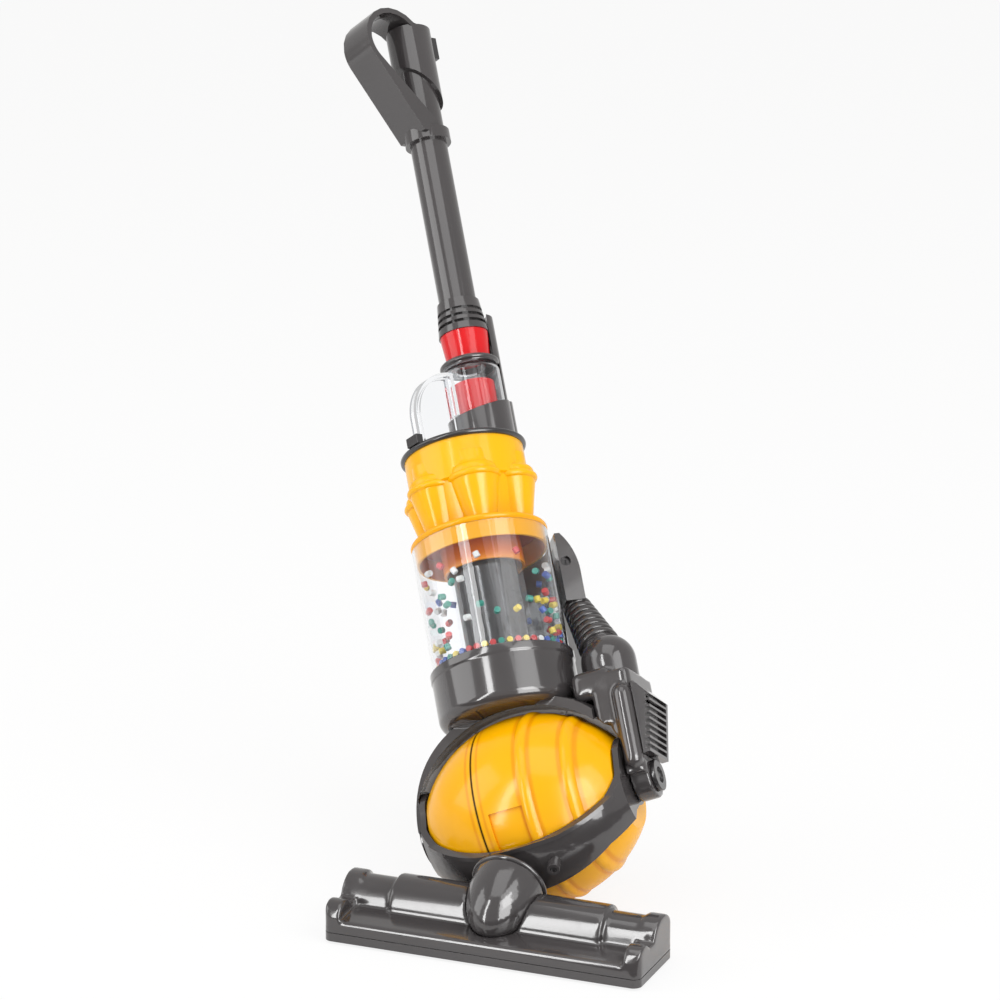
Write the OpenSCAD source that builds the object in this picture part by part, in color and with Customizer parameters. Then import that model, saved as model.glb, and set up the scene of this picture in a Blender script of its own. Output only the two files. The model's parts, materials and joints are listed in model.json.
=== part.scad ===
// Toy upright vacuum cleaner, shown in use: head flat on the floor, body leaning back on its ball.
// Origin: centre of the head's outline on the floor. X along the head, Y to the back, Z up.

/* [Pose] */
// Turn of the ball's axle to the back on the right, degrees
steer = 9.4; // [0:0.1:15]
// Rise of the ball's axle on the right, degrees
lean = 20.9; // [0:0.1:24]
// Lean of the body to the back, degrees
recline = 32.8; // [20:0.1:45]
// Turn of the cyclone top on the bin, degrees
cyclone_turn = 30; // [0:1:45]
// Ball centre from the head's centre, along the head
ball_x = -8.2; // [-15:0.1:5]
// Ball centre behind the head's centre
ball_y = 90.8; // [90:0.1:100]
// Bin axis from the ball centre, along the axle
bin_x = -5; // [-8:0.1:2]
// Bin axis from the ball centre, to the back
bin_y = -1.4; // [-4:0.1:4]

/* [Head] */
// Length of the head
head_l = 226; // [210:1:240]
// Depth of the head
head_d = 64; // [60:1:68]
// Height of the front wall
head_front_h = 16; // [14:0.5:20]
// Height of the deck at the back
head_back_h = 20; // [17:0.5:22]
// Height of the seam between sole and cover
sole_h = 7; // [6:0.5:9]
// Clearance under the sole
sole_lift = 1.2; // [0.8:0.1:2]
// Wall of the moulded parts of the head
head_wall = 2.4; // [1.8:0.1:3]
// Corner radius of the head's outline
head_corner = 6; // [4:0.5:9]
// Thickness of an end cheek
cheek_t = 12; // [9:0.5:13]
// Radius of the front hump of a cheek
cheek_front_r = 11.5; // [9:0.5:12]
// Height of the front hump's centre
cheek_front_z = 16; // [14:0.5:18]
// Radius of the rear hump of a cheek
cheek_rear_r = 18; // [16:0.5:20]
// Height of the rear hump's centre
cheek_rear_z = 18; // [16:0.5:20]
// Height of the dip between the humps
cheek_dip_z = 23; // [20:0.5:25]
// Radius of the inner tube sections
tube_r = 20; // [18:0.5:21]
// Radius of the outer tube sections
tube_small_r = 16.5; // [14:0.5:17.5]
// Tube axis behind the head's centre
tube_y = 12; // [10:0.5:14]
// Height of the tube axis
tube_z = 18; // [16:0.5:19]
// Distance from the middle to the step of a tube
tube_step_x = 76; // [70:1:82]
// Radius of a sole roller
roller_r = 5.5; // [4.5:0.1:6]
// Width of a sole roller
roller_w = 14; // [10:1:18]
// Radius of a roller's pin
roller_pin_r = 2; // [1.5:0.1:2.5]
// Distance of the rollers from the head's ends
roller_end = 29; // [24:1:40]
// Distance of the rollers from the head's front and back
roller_edge = 11; // [10:0.5:13]
// Length of the suction slot
slot_l = 130; // [100:1:136]
// Width of the suction slot
slot_w = 12; // [8:0.5:14]

/* [Swivel] */
// Rim of the dome behind the head's centre
dome_y = 20.5; // [18:0.5:22]
// Height of the rim's centre
dome_z = 37; // [35:0.5:39]
// Radius of the dome at its rim
dome_r = 25; // [23:0.5:26]
// Length of the dome
dome_l = 46; // [42:0.5:48]
// Rise of the swivel axis to the back, degrees
dome_tilt = 21.7; // [18:0.1:25]
// Radius of the neck in the dome
neck_r = 18.5; // [16:0.5:19]
// Radius of the neck's air bore
neck_bore_r = 13; // [10:0.5:14]
// Length of the neck inside the dome
neck_in = 14; // [12:0.5:16]
// Width of the rim ring
rim_w = 3.5; // [3:0.1:4]
// Step of the rim ring over the dome
rim_step = 1.6; // [1:0.1:2]

/* [Ball] */
// Radius of the ball at its middle
ball_r = 65; // [63:0.5:66]
// Half of the ball's length
ball_half = 68; // [66:0.5:70]
// Extra radius of the barrel curve, its centre lies this far past the axle
barrel_extra = 20; // [16:0.5:24]
// Wall of the ball's shells
ball_wall = 2.6; // [2:0.1:3]
// Place of the open seam on the axle
seam_x = -21; // [-24:0.5:-18]
// Width of the open seam
seam_w = 0.8; // [0.5:0.1:1]
// Place of the first raised band
band_x = 15.7; // [14:0.1:18]
// Place of the second raised band
band_outer_x = 44.5; // [42:0.1:47]
// Width of a raised band
band_w = 8; // [6:0.5:9]
// Height of a raised band
band_h = 1.3; // [0.8:0.1:1.4]
// Depth of the recess in the centre shell
recess_depth = 1.6; // [1:0.1:1.8]
// Radius of the axle
axle_r = 4; // [3:0.5:5]
// Running clearance on the axle
axle_gap = 0.08; // [0.05:0.01:0.1]

/* [Yoke] */
// Gap between ball and yoke
yoke_gap = 1.5; // [1.2:0.1:2]
// Wall of the yoke
yoke_wall = 4; // [3:0.1:4.2]
// Step of the rim bead over the yoke
yoke_bead = 0.7; // [0.4:0.1:0.7]
// Width of the rim bead
yoke_bead_w = 3; // [2:0.1:4]
// Radius of the yoke's hubs
yoke_hub_r = 24; // [22:0.5:26]
// Rise of the hub disc over the axle
yoke_hub_rise = 8; // [4:0.5:9]
// Radius of the peg
peg_r = 4.5; // [3:0.5:5]
// Length of the peg
peg_l = 6; // [4:0.5:7]
// Place of the peg along the axle
peg_x = 21; // [20:0.5:24]
// Angle of the peg under the horizontal, degrees
peg_drop = 17; // [14:0.5:20]

/* [Carriage] */
// Gap between yoke and arms
arm_gap = 1; // [0.8:0.1:1.5]
// Thickness of the saddle over the ball
saddle_t = 4.5; // [4:0.5:5]
// Thickness of the left arm
arm_t = 6.5; // [6:0.5:8]
// Half width of the arms
arm_half = 24; // [22:0.5:26]
// Radius of the arm's round lower end
arm_hub_r = 20; // [18:0.5:22]
// Height on the body where the arms meet the saddle
arm_top = 38; // [36:0.5:42]
// Roundness of the arms' ends, a power
arm_power = 2.3; // [2.2:0.1:2.6]
// Inner face of the right housing along the axle
housing_x0 = 60; // [58:0.5:64]
// Outer face of the right housing along the axle
housing_x1 = 89; // [88:0.5:91]
// Inner face of the housing's lower part along the axle
housing_low_x = 69; // [68:0.5:72]
// Front face of the right housing
housing_y0 = -22; // [-24:0.5:-20]
// Back face of the right housing
housing_y1 = 30; // [28:0.5:32]
// Bottom of the right housing's upper block
housing_s0 = 38; // [36:0.5:42]
// Top of the right housing's block
housing_s1 = 74; // [70:0.5:76]
// Step between the housing's upper and lower part
housing_step = 0.5; // [0.3:0.1:0.8]
// Corner radius of the right housing
housing_corner = 5; // [4:0.5:8]
// Radius of the housing's lower lobe
lobe_r = 15; // [13:0.5:16]
// Radius of the front boss
boss_r = 6.4; // [5.5:0.1:6.5]
// Place of the boss along the axle
boss_x = 82.4; // [81:0.1:82.5]
// Bottom of the boss
boss_s0 = 9; // [6:0.5:12]
// Top of the boss
boss_s1 = 56; // [50:0.5:60]
// Radius of a hub cap
cap_r = 11; // [9:0.5:12]
// Thickness of a hub cap
cap_t = 3; // [2:0.5:4]

/* [Vent] */
// Depth of the vent box over the housing at its top
vent_out = 12; // [10:0.5:14]
// Depth of the vent box over the housing at its bottom
vent_out_low = 5; // [4:0.5:6]
// Front of the vent box
vent_y0 = -20; // [-24:0.5:-20]
// Back of the vent box
vent_y1 = 16; // [14:0.5:20]
// Bottom of the vent box
vent_s0 = 12; // [11.5:0.5:16]
// Top of the vent box
vent_s1 = 63; // [58:0.5:66]
// Number of slots
vent_slots = 9; // [7:1:10]
// Width of a slot
vent_slot_w = 2.8; // [2:0.1:3]
// Wall of the vent box
vent_wall = 2.2; // [1.8:0.1:2.6]

/* [Hose] */
// Radius of the elbow
elbow_r = 19.2; // [18:0.1:20]
// Place of the elbow along the axle
elbow_x = 67.5; // [66:0.5:69]
// Place of the elbow to the back
elbow_y = 9.5; // [8:0.5:11]
// Height of the bend on the body
elbow_s = 90; // [88:0.5:92]
// Wall of elbow and hose
hose_wall = 2; // [1.5:0.1:2.5]
// Lean of the hose from the body's axis, degrees
hose_lean = 30.5; // [28:0.5:32]
// Heading of the hose, degrees from the axle
hose_heading = 136; // [132:0.5:140]
// Start of the hose from the bend
hose_start = 17; // [16.5:0.5:18]
// Length of the hose
hose_l = 50; // [47:0.5:52]
// Radius of the hose at the elbow
hose_r0 = 13.2; // [12.5:0.1:14]
// Radius of the hose at the connector
hose_r1 = 8.4; // [8:0.1:9]
// Number of ribs
hose_ribs = 7; // [6:1:8]
// Depth of the grooves between ribs
hose_groove = 1.3; // [0.8:0.1:1.6]
// Heading of the connector from the axle, degrees
conn_heading = 31.3; // [30:0.1:33]
// Width of the connector
conn_w = 22; // [18:0.5:23]
// Bottom of the connector on the body
conn_s0 = 144; // [142:0.5:146]
// Top of the connector on the body
conn_s1 = 194; // [191:0.5:195]
// Radius of the connector's curved back
conn_arc_r = 46.8; // [46:0.1:48]
// Height of the curve's centre
conn_arc_s = 165; // [163:0.5:167]
// Curve's centre from the bin axis
conn_arc_x = 17.7; // [17:0.1:18.5]
// Distance of the screw from the bin
screw_in = 4.6; // [4.2:0.1:6]
// Height of the screw on the body
screw_s = 173; // [170:0.5:176]
// Radius of the screw recess
screw_r = 3.6; // [3:0.1:4]
// Depth of the screw recess
screw_recess = 5; // [4:0.5:6]

/* [Bin] */
// Radius of the base cup
cup_r = 49.8; // [49.6:0.1:51]
// Step of the cup's rim
cup_rim = 0.6; // [0.4:0.1:1]
// Bottom rounding of the cup
cup_round = 8; // [6:0.5:10]
// Height of the cup's ledge on the body
cup_ledge_s = 99; // [97:0.5:101]
// Height of the cup's rim on the body
cup_rim_s = 106; // [104:0.5:108]
// Wall of the cup
cup_wall = 2.2; // [1.8:0.1:2.4]
// Thickness of the bin floor
floor_t = 8; // [6:0.5:9]
// Radius of the clear bin
bin_r = 47.8; // [47:0.1:48]
// Wall of the clear bin
bin_wall = 1.8; // [1.4:0.1:2.2]
// Height of the bin's top on the body
bin_s1 = 197; // [194:0.5:200]
// Radius of the shroud
shroud_r = 22.5; // [20:0.5:24]
// Height of the shroud's top on the body
shroud_s1 = 184; // [180:0.5:188]
// Radius of a bead
bead_r = 2.2; // [1.8:0.1:2.4]
// Length of a bead
bead_l = 4.2; // [3.4:0.1:4.4]
// Share of the wall's places that hold a bead
bead_share_low = 0.15; // [0.05:0.01:0.3]
// Added share where the beads gather
bead_share_side = 0.55; // [0:0.05:0.6]
// Direction of the thin part between the gathered beads, degrees from the axle
bead_side = -71; // [-90:1:-50]
// Seed of the scatter
bead_seed = 7; // [1:1:99]

/* [Cyclone] */
// Radius of the flange's lip
lip_r = 48.2; // [48:0.1:49]
// Height of the flange's lip
lip_h = 4.5; // [3:0.5:5]
// Depth of the flange inside the bin
flange_drop = 12; // [9:0.5:14]
// Radius of the inner skirt
skirt_r = 28.4; // [26:0.1:30]
// Depth of the inner skirt
skirt_drop = 22; // [18:0.5:26]
// Wall of the yellow mouldings
cyclone_wall = 2; // [1.6:0.1:2.4]
// Height of the lid on the body
lid_s = 262; // [258:0.5:266]
// Radius of the drum
drum_r = 42; // [41:0.5:42.5]
// Radius of the core at the flange
core_r = 33; // [30:0.5:35]
// Number of cyclones
cyclones = 6; // [5:1:7]
// Place of the first cyclone, degrees from the axle
cyclone_start = -63; // [-70:1:-56]
// Distance of a cyclone from the bin axis
cyclone_ring_r = 30.5; // [29:0.5:32]
// Radius of a cyclone at its foot
cyclone_foot_r = 11; // [9:0.5:12]
// Radius of a cyclone under its bead
cyclone_r = 17.6; // [17:0.1:18.5]
// Radius of a cyclone's bead
cyclone_bead = 2.6; // [2:0.1:3]
// Radius of a cyclone's neck
cyclone_neck_r = 13.3; // [12:0.1:14]
// Height of a cyclone
cyclone_h = 50; // [48:0.5:52]
// Radius of the lid ring
lid_r = 44.5; // [43.5:0.1:45.5]
// Thickness of the lid ring
lid_t = 4; // [3:0.5:5]
// Width of the catch
catch_w = 12; // [9:0.5:14]
// Height of the catch
catch_h = 7; // [5:0.5:9]
// Length of the catch
catch_l = 5.6; // [4:0.2:5.8]

/* [Top stack] */
// Stack and wand axis behind the bin axis
stack_y = 20.5; // [19:0.5:22]
// Radius of the clear canister
can_r = 20.4; // [19:0.1:21]
// Wall of the clear canister
can_wall = 1.6; // [1.2:0.1:2]
// Height of the canister's top on the body
can_s1 = 331; // [328:0.5:334]
// Thickness of the slanted collar
collar_t = 2.8; // [2:0.1:3.2]
// Height of the collar's edge at its front on the body
collar_low_s = 291; // [288:0.5:294]
// Slant of the collar's edge, degrees
collar_slant = 15.5; // [12:0.5:18]
// Radius of the ring over the canister
ring_r = 21.2; // [20.5:0.1:22]
// Height of the ring over the canister
ring_h = 4.5; // [3.5:0.5:5.5]
// Radius of the red core
red_r = 15.2; // [14:0.1:16]
// Height of the red core's top on the body
red_s1 = 318; // [314:0.5:322]
// Radius of the red cone at its foot
cone_r0 = 15.4; // [14.5:0.1:16]
// Radius of the red cone at its top
cone_r1 = 17.2; // [16.5:0.1:17.8]
// Height of the red cone
cone_h = 21; // [18:0.5:23]
// Radius of the louvre collar's flare
louvre_r = 18; // [17.5:0.1:18.5]
// Height of the louvre collar
louvre_h = 25; // [22:0.5:27]
// Number of louvre slots
louvre_slots = 3; // [2:1:4]
// Width of a louvre slot
louvre_slot_w = 2.4; // [1.5:0.1:2.8]
// Radius of the spine
spine_r = 12.5; // [11:0.5:13.5]
// Spine axis behind the stack axis
spine_back = 13; // [11:0.5:14]
// Drop of the spine's top under the louvre collar's top
spine_drop = 11.5; // [9:0.5:14]
// Reach of the carry grip in front of the stack axis
grip_reach = 59; // [54:0.5:60]
// Height of the carry grip
grip_h = 58; // [52:0.5:60]
// Thickness of the carry grip's edge
grip_t = 9; // [7:0.5:11]
// Thickness of the carry grip's web
grip_web = 3; // [2:0.5:4]
// Width of the carry grip's edge
grip_edge = 3; // [2:0.5:4]

/* [Wand] */
// Radius of the wand
wand_r = 13.3; // [12.5:0.1:14]
// Wall of the wand
wand_wall = 1.8; // [1.4:0.1:2.2]
// Height of the wand's top on the body
wand_s1 = 574; // [570:0.5:578]
// Radius of the handle's lower ring
collar_ring_r = 16.6; // [16:0.1:17.5]
// Bottom of the handle's lower ring on the body
collar_ring_s = 507; // [505:0.5:509]
// Height of the handle's lower ring
collar_ring_h = 9; // [7:0.5:10]
// Radius of the handle's sleeve
sleeve_r = 16.2; // [15.5:0.1:17]
// Height of the handle's top on the body
sleeve_s1 = 597; // [594:0.5:600]
// Middle of the sleeve's slanted end on the body
sleeve_cut_s = 551; // [548:0.5:554]
// Slant of the sleeve's end, degrees
sleeve_slant = 42; // [36:0.5:46]
// Radius of the loop's round part
loop_r = 26; // [24:0.5:27]
// Centre of the loop in front of the wand's axis
loop_front = 24.5; // [23:0.5:26]
// Height of the loop's centre on the body
loop_s = 581; // [579:0.5:583]
// End of the loop's round part over the sleeve, degrees
loop_turn = 42; // [30:1:60]
// Reach of the grip hole's foot behind the wand's axis
loop_foot = 4; // [2:0.5:6]
// Width of the loop's strap
loop_w = 29; // [26:0.5:31]
// Thickness of the loop's strap
loop_t = 4; // [3:0.1:5]
// Width of the button
button_w = 12; // [10:0.5:14]
// Height of the button
button_h = 17; // [14:0.5:18]
// Reach of the button over the sleeve
button_out = 4.5; // [3:0.5:5]
// Distance of the button from the handle's top
button_drop = 3; // [2:0.5:4]
// Travel of the button
button_travel = 2.5; // [1.5:0.5:3]
// Clearance round the button
button_gap = 0.3; // [0.2:0.05:0.4]

/* [Rear box] */
// Half width of the rear box
box_half = 33; // [32:0.5:34]
// Back of the rear box behind the bin axis
box_y1 = 76; // [74:0.5:78]
// Bottom of the rear box on the body
box_s0 = 52; // [50:0.5:56]
// Top of the rear box on the body
box_s1 = 188; // [184:0.5:190]
// Wall of the rear box
box_wall = 2.5; // [2:0.1:3]
// Bottom of the drawer's bay on the body
drawer_s0 = 80; // [78:0.5:82]
// Height of the drawer
drawer_h = 36; // [30:0.5:38]
// Clearance round the drawer
drawer_gap = 0.4; // [0.3:0.05:0.5]
// Radius of a battery cell
cell_r = 7.1; // [6.9:0.1:7.2]
// Length of a battery cell
cell_l = 50; // [49:0.5:51]
// Number of battery cells
cells = 4; // [2:1:4]
// Radius of the motor
motor_r = 12; // [10:0.5:14]
// Share of the cup's room that the motor takes
motor_share = 0.6; // [0.5:0.05:0.65]
// Radius of the impeller
fan_r = 30; // [24:1:36]
// Number of impeller blades
fan_blades = 8; // [5:1:12]

/* [Hidden] */
$fn = 96;
over = 1;
fit = 0.05;
grey = [0.25, 0.24, 0.24];
dark = [0.15, 0.15, 0.15];
yellow = [1, 0.75, 0.02];
red = [0.85, 0.05, 0.06];
clear = [0.9, 0.93, 0.95, 0.35];
steel = [0.7, 0.7, 0.72];
arc_r = ball_r + barrel_extra;
roller_x = head_l / 2 - roller_end;
roller_y = head_d / 2 - roller_edge;
ball_z = arc_r - barrel_extra * cos(lean);
barrel_steps = 22;
arc_steps = 8;
yoke_out = yoke_gap + yoke_wall;
arm_in = yoke_out + arm_gap;
saddle_out = arm_in + saddle_t;
cup_s0 = ball_r;
cup_floor_s = ball_r + arm_in + cup_wall;
arm_reach = ball_half + arm_in + arm_t;
arm_face = arm_reach - saddle_t / 4;
arm_steps = 3 * arc_steps;
cap_face = housing_x1 - housing_step;
bin_in = bin_r - bin_wall;
floor_s = cup_ledge_s + floor_t;
flange_s = bin_s1 + lip_h;
lid_top = lid_s + lid_t;
ring_s = can_s1;
cone_s = ring_s + ring_h;
louvre_s = cone_s + cone_h;
louvre_top = louvre_s + louvre_h;
wand_s0 = louvre_s + louvre_h / 5;
neck_fit = 0.3;
wall_x = cup_r + cup_rim + neck_fit;
motor_h = (cup_ledge_s - cup_floor_s) * motor_share;
yoke_top_shares = [[-1.25, -0.02], [-1.02, -0.03], [-0.62, 0.11], [-0.38, 0.27], [-0.18, 0.46]];
yoke_low_shares = [[0.1, -0.2], [-0.3, -0.21], [-0.69, -0.37], [-0.94, -0.62], [-1.25, -0.93]];
cell_bay_s = drawer_s0 + drawer_h + box_wall;
cell_bay_h = cell_l + 2 * over;
door_s0 = cell_bay_s - box_wall / 2;
door_h = cell_bay_h + box_wall;
bead_size = norm([bead_r, bead_l / 2]);
floor_slots = floor(2 * PI * (bin_in - bead_size) / (2 * bead_size - over / 2));
wall_slots = floor(2 * PI * (bin_in - bead_size) / (2 * bead_size + over));
wall_rows = floor((flange_s - skirt_drop / 2 - floor_s) / (2 * bead_size + over)) - 2;
bead_picks = rands(0, 1, floor_slots + wall_slots * wall_rows, bead_seed);
bead_colours = rands(0, 5, floor_slots + wall_slots * wall_rows, bead_seed + 1);
bead_turns = rands(0, 360, floor_slots + wall_slots * wall_rows, bead_seed + 2);
cyclone_shares = [0.3, 0.58, 0.64, 0.72, 0.86];
cradle_hole_share = 0.62;
cradle_cut_share = 0.8;
recess_turns = [12, 50];
elbow_nose_share = 0.9;
rib_shares = [[0, 0], [0.16, 1], [0.84, 1], [1, 0]];
rib_fill_share = 0.98;
wing_turn = 35;
door_screw_share = 0.05;
cup_step_shares = [3, 2.5];
bell_turn = 75;
grip_round_share = 0.62;
grip_foot_share = 0.3;
louvre_share = 0.2;
louvre_rib_turn = -130;

// Round helpers
function arc(x, y, r, a0, a1) =
    [for (i = [0 : arc_steps]) let (a = a0 + (a1 - a0) * i / arc_steps) [x + r * cos(a), y + r * sin(a)]];
function barrel_at(x, gap) = sqrt(pow(arc_r + gap, 2) - x * x) - barrel_extra;
function barrel_line(x0, x1, gap) =
    [for (i = [0 : barrel_steps]) let (x = x0 + (x1 - x0) * i / barrel_steps) [barrel_at(x, gap), x]];

module along_x(l) { rotate([90, 0, 90]) linear_extrude(l, center = true) children(); }
module lathe() { rotate_extrude() children(); }
module barrel_solid(gap) {
    half = ball_half + gap;
    rotate([0, 90, 0]) lathe() polygon(concat([[0, -half]], barrel_line(-half, half, gap), [[0, half]]));
}
module barrel_shell(x0, x1, gap_in, gap_out) {
    rotate([0, 90, 0]) lathe()
        polygon(concat(barrel_line(x0, x1, gap_out), barrel_line(x1, x0, gap_in)));
}
module round_rect(w, d, r) {
    square([w - 2 * r, d], center = true);
    square([w, d - 2 * r], center = true);
    for (x = [-1, 1], y = [-1, 1]) translate([x * (w / 2 - r), y * (d / 2 - r)]) circle(r);
}

// Frames: yoke follows the axle, body leans back on it, bin and top follow the bin's axis
module yoke_frame() {
    translate([ball_x, ball_y, ball_z]) rotate([0, 0, steer]) rotate([0, -lean, 0]) children();
}
module body_frame() { yoke_frame() rotate([-recline, 0, 0]) children(); }
module bin_frame() { body_frame() translate([bin_x, bin_y, 0]) children(); }
module top_frame() { bin_frame() rotate([0, 0, -cyclone_turn]) children(); }
module stack_frame() { top_frame() translate([0, stack_y, 0]) children(); }
module dome_frame() {
    translate([0, dome_y, dome_z]) rotate([dome_tilt - 90, 0, 0]) children();
}
module hose_frame() {
    body_frame() translate([elbow_x, elbow_y, elbow_s]) rotate([0, hose_lean, hose_heading]) children();
}
module conn_frame() {
    bin_frame() rotate([90, 0, conn_heading]) children();
}

// Head
module egg(inset) {
    steps = 2 * arc_steps;
    lathe() polygon(concat(
        [for (i = [0 : steps]) let (a = 90 * i / steps)
            [(dome_r - inset) * cos(a), -(dome_l - inset) * sin(a)]],
        [[0, 0]]));
}
module cheek_shape() {
    front = -head_d / 2 + cheek_front_r;
    rear = head_d / 2 - cheek_rear_r;
    translate([-head_d / 2, sole_h]) square([head_d, cheek_front_z - sole_h]);
    translate([front, sole_h]) square([rear - front, cheek_dip_z - sole_h]);
    translate([front, cheek_front_z]) circle(cheek_front_r);
    translate([rear - cheek_rear_r, sole_h]) square([2 * cheek_rear_r, cheek_rear_z - sole_h]);
    translate([rear, cheek_rear_z]) circle(cheek_rear_r);
}
module deck_shape(inset) {
    lip = head_wall;
    polygon(concat(
        [[-head_d / 2 + inset, sole_h - over * (inset > 0 ? 1 : 0)]],
        arc(-head_d / 2 + lip + inset, head_front_h - lip - inset, lip, 180, 90),
        [[tube_y, head_back_h - inset], [head_d / 2 - inset, head_back_h - inset],
         [head_d / 2 - inset, sole_h - over * (inset > 0 ? 1 : 0)]]));
}
module head_tube(inset) {
    step = 2 * tube_step_x;
    translate([0, tube_y, tube_z]) rotate([0, 90, 0]) {
        cylinder(r = tube_r - inset, h = step - 2 * inset, center = true);
        cylinder(r = tube_small_r - inset, h = head_l - cheek_t - 2 * inset, center = true);
    }
}
module head_outline(inset) { round_rect(head_l - 2 * inset, head_d - 2 * inset, head_corner - inset); }
module head_cover() {
    inner_l = head_l - 2 * cheek_t;
    color(grey) difference() {
        intersection() {
            union() {
                along_x(inner_l + cheek_t) deck_shape(0);
                head_tube(0);
                for (side = [-1, 1]) translate([side * (head_l - cheek_t) / 2, 0, 0])
                    along_x(cheek_t) cheek_shape();
            }
            translate([0, 0, sole_h]) linear_extrude(3 * tube_r) head_outline(0);
        }
        along_x(inner_l) deck_shape(head_wall);
        intersection() {
            head_tube(head_wall);
            translate([0, 0, sole_h - over]) linear_extrude(3 * tube_r) head_outline(head_wall);
        }
        dome_frame() egg(0);
        dome_frame() cylinder(r = dome_r + rim_step + neck_fit, h = 2 * dome_r);
    }
}
module roller_places() { for (x = [-1, 1]) translate([x * roller_x, 0, roller_r]) children(); }
module sole_lugs() {
    lug = roller_pin_r * 2;
    for (y = [-1, 1]) translate([0, y * roller_y, 0]) roller_places() for (side = [-1, 1])
        translate([side * (roller_w / 2 + fit + lug / 2), 0, 0])
            translate([-lug / 2, -lug, sole_lift - roller_r])
                cube([lug, 2 * lug, roller_r + lug - sole_lift]);
}
module head_sole() {
    pocket = roller_w + 2 * fit;
    color(grey) difference() {
        union() {
            translate([0, 0, sole_lift]) linear_extrude(sole_h - sole_lift) difference() {
                head_outline(0);
                head_outline(head_wall);
            }
            translate([0, 0, sole_lift]) linear_extrude(head_wall) head_outline(head_wall / 2);
            sole_lugs();
        }
        translate([-slot_l / 2, -slot_w, 0]) cube([slot_l, slot_w, sole_h]);
        for (y = [-1, 1]) translate([0, y * roller_y, 0]) roller_places() {
            translate([-pocket / 2, -roller_r - over / 2, -roller_r])
                cube([pocket, 2 * roller_r + over, sole_h]);
            rotate([0, 90, 0]) cylinder(r = roller_pin_r + fit, h = 2 * roller_w, center = true);
        }
        screw_places() cylinder(r = screw_r / 2 + fit, h = 3 * sole_h, center = true);
    }
}
module screw_places() {
    for (x = [-1, 1], y = [-1, 1]) translate([x * head_l / 4, y * roller_y, 0]) children();
}
module sole_screws() {
    color(steel) screw_places() {
        translate([0, 0, sole_lift + head_wall]) cylinder(r = screw_r, h = head_wall);
        translate([0, 0, sole_lift]) cylinder(r = screw_r / 2, h = 2 * head_wall);
    }
}
module brush_strip() {
    color(dark) translate([-slot_l / 2, fit, sole_lift + head_wall + fit])
        cube([slot_l, slot_w / 2, head_wall]);
}
module roller() {
    rotate([0, 90, 0]) {
        cylinder(r = roller_r, h = roller_w - 2 * fit, center = true);
        cylinder(r = roller_pin_r, h = roller_w + 4 * roller_pin_r - 2 * fit, center = true);
    }
}
module front_rollers() { color(dark) translate([0, -roller_y, 0]) roller_places() roller(); }
module rear_rollers() { color(dark) translate([0, roller_y, 0]) roller_places() roller(); }
module swivel_dome() {
    color(grey) difference() {
        dome_frame() egg(0);
        dome_frame() egg(head_wall);
    }
}
module dome_rim() {
    bead = rim_w / 2;
    color(grey) dome_frame() lathe() {
        translate([neck_r + neck_fit, 0]) square([dome_r - neck_r - neck_fit, rim_w]);
        translate([dome_r - bead + rim_step, bead]) circle(bead);
        translate([dome_r - bead, 0]) square([rim_step, rim_w]);
    }
}

// Yoke
module yoke_neck() {
    keeper = dome_r - head_wall - 2 * neck_fit;
    color(grey) difference() {
        dome_frame() difference() {
            union() {
                translate([0, 0, -neck_in]) cylinder(r = neck_r, h = neck_in + dome_r);
                translate([0, 0, -neck_in / 2]) cylinder(r = keeper - over, h = neck_in / 2 - neck_fit);
            }
            translate([0, 0, -neck_in - over]) cylinder(r = neck_bore_r, h = neck_in + 2 * over);
        }
        yoke_frame() barrel_solid(yoke_out);
    }
}
module yoke_side(lift) {
    raised = [for (p = yoke_top_shares) p * ball_r + [0, lift]];
    low = [for (p = yoke_low_shares) p * ball_r];
    polygon(concat(raised, [[0, yoke_hub_rise]], low));
    translate([0, yoke_hub_rise + lift]) circle(yoke_hub_r);
}
module yoke_cradle() {
    wide = 3 * ball_half;
    ends = ball_half + yoke_out;
    color(grey) yoke_frame() difference() {
        union() {
            intersection() {
                barrel_solid(yoke_out);
                along_x(wide) yoke_side(0);
            }
            intersection() {
                barrel_shell(-ball_half, ball_half, yoke_gap, yoke_out + yoke_bead);
                along_x(wide) difference() {
                    yoke_side(0);
                    yoke_side(-yoke_bead_w);
                    circle(cradle_hole_share * ball_r);
                    translate([-ball_r, -ball_r]) square([2 * ball_r, cradle_cut_share * ball_r]);
                }
            }
        }
        barrel_solid(yoke_gap);
        rotate([0, 90, 0]) cylinder(r = axle_r + axle_gap, h = 3 * ends, center = true);
    }
}
module yoke_peg() {
    start = ball_r;
    color(grey) yoke_frame() difference() {
        translate([peg_x, 0, 0]) rotate([90 + peg_drop, 0, 0]) difference() {
            translate([0, 0, start]) cylinder(r = peg_r, h = yoke_out + peg_l);
            translate([0, 0, start + yoke_out + peg_l / 2]) cylinder(r = peg_r / 2, h = peg_l);
        }
        barrel_solid(yoke_out);
    }
}

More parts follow.
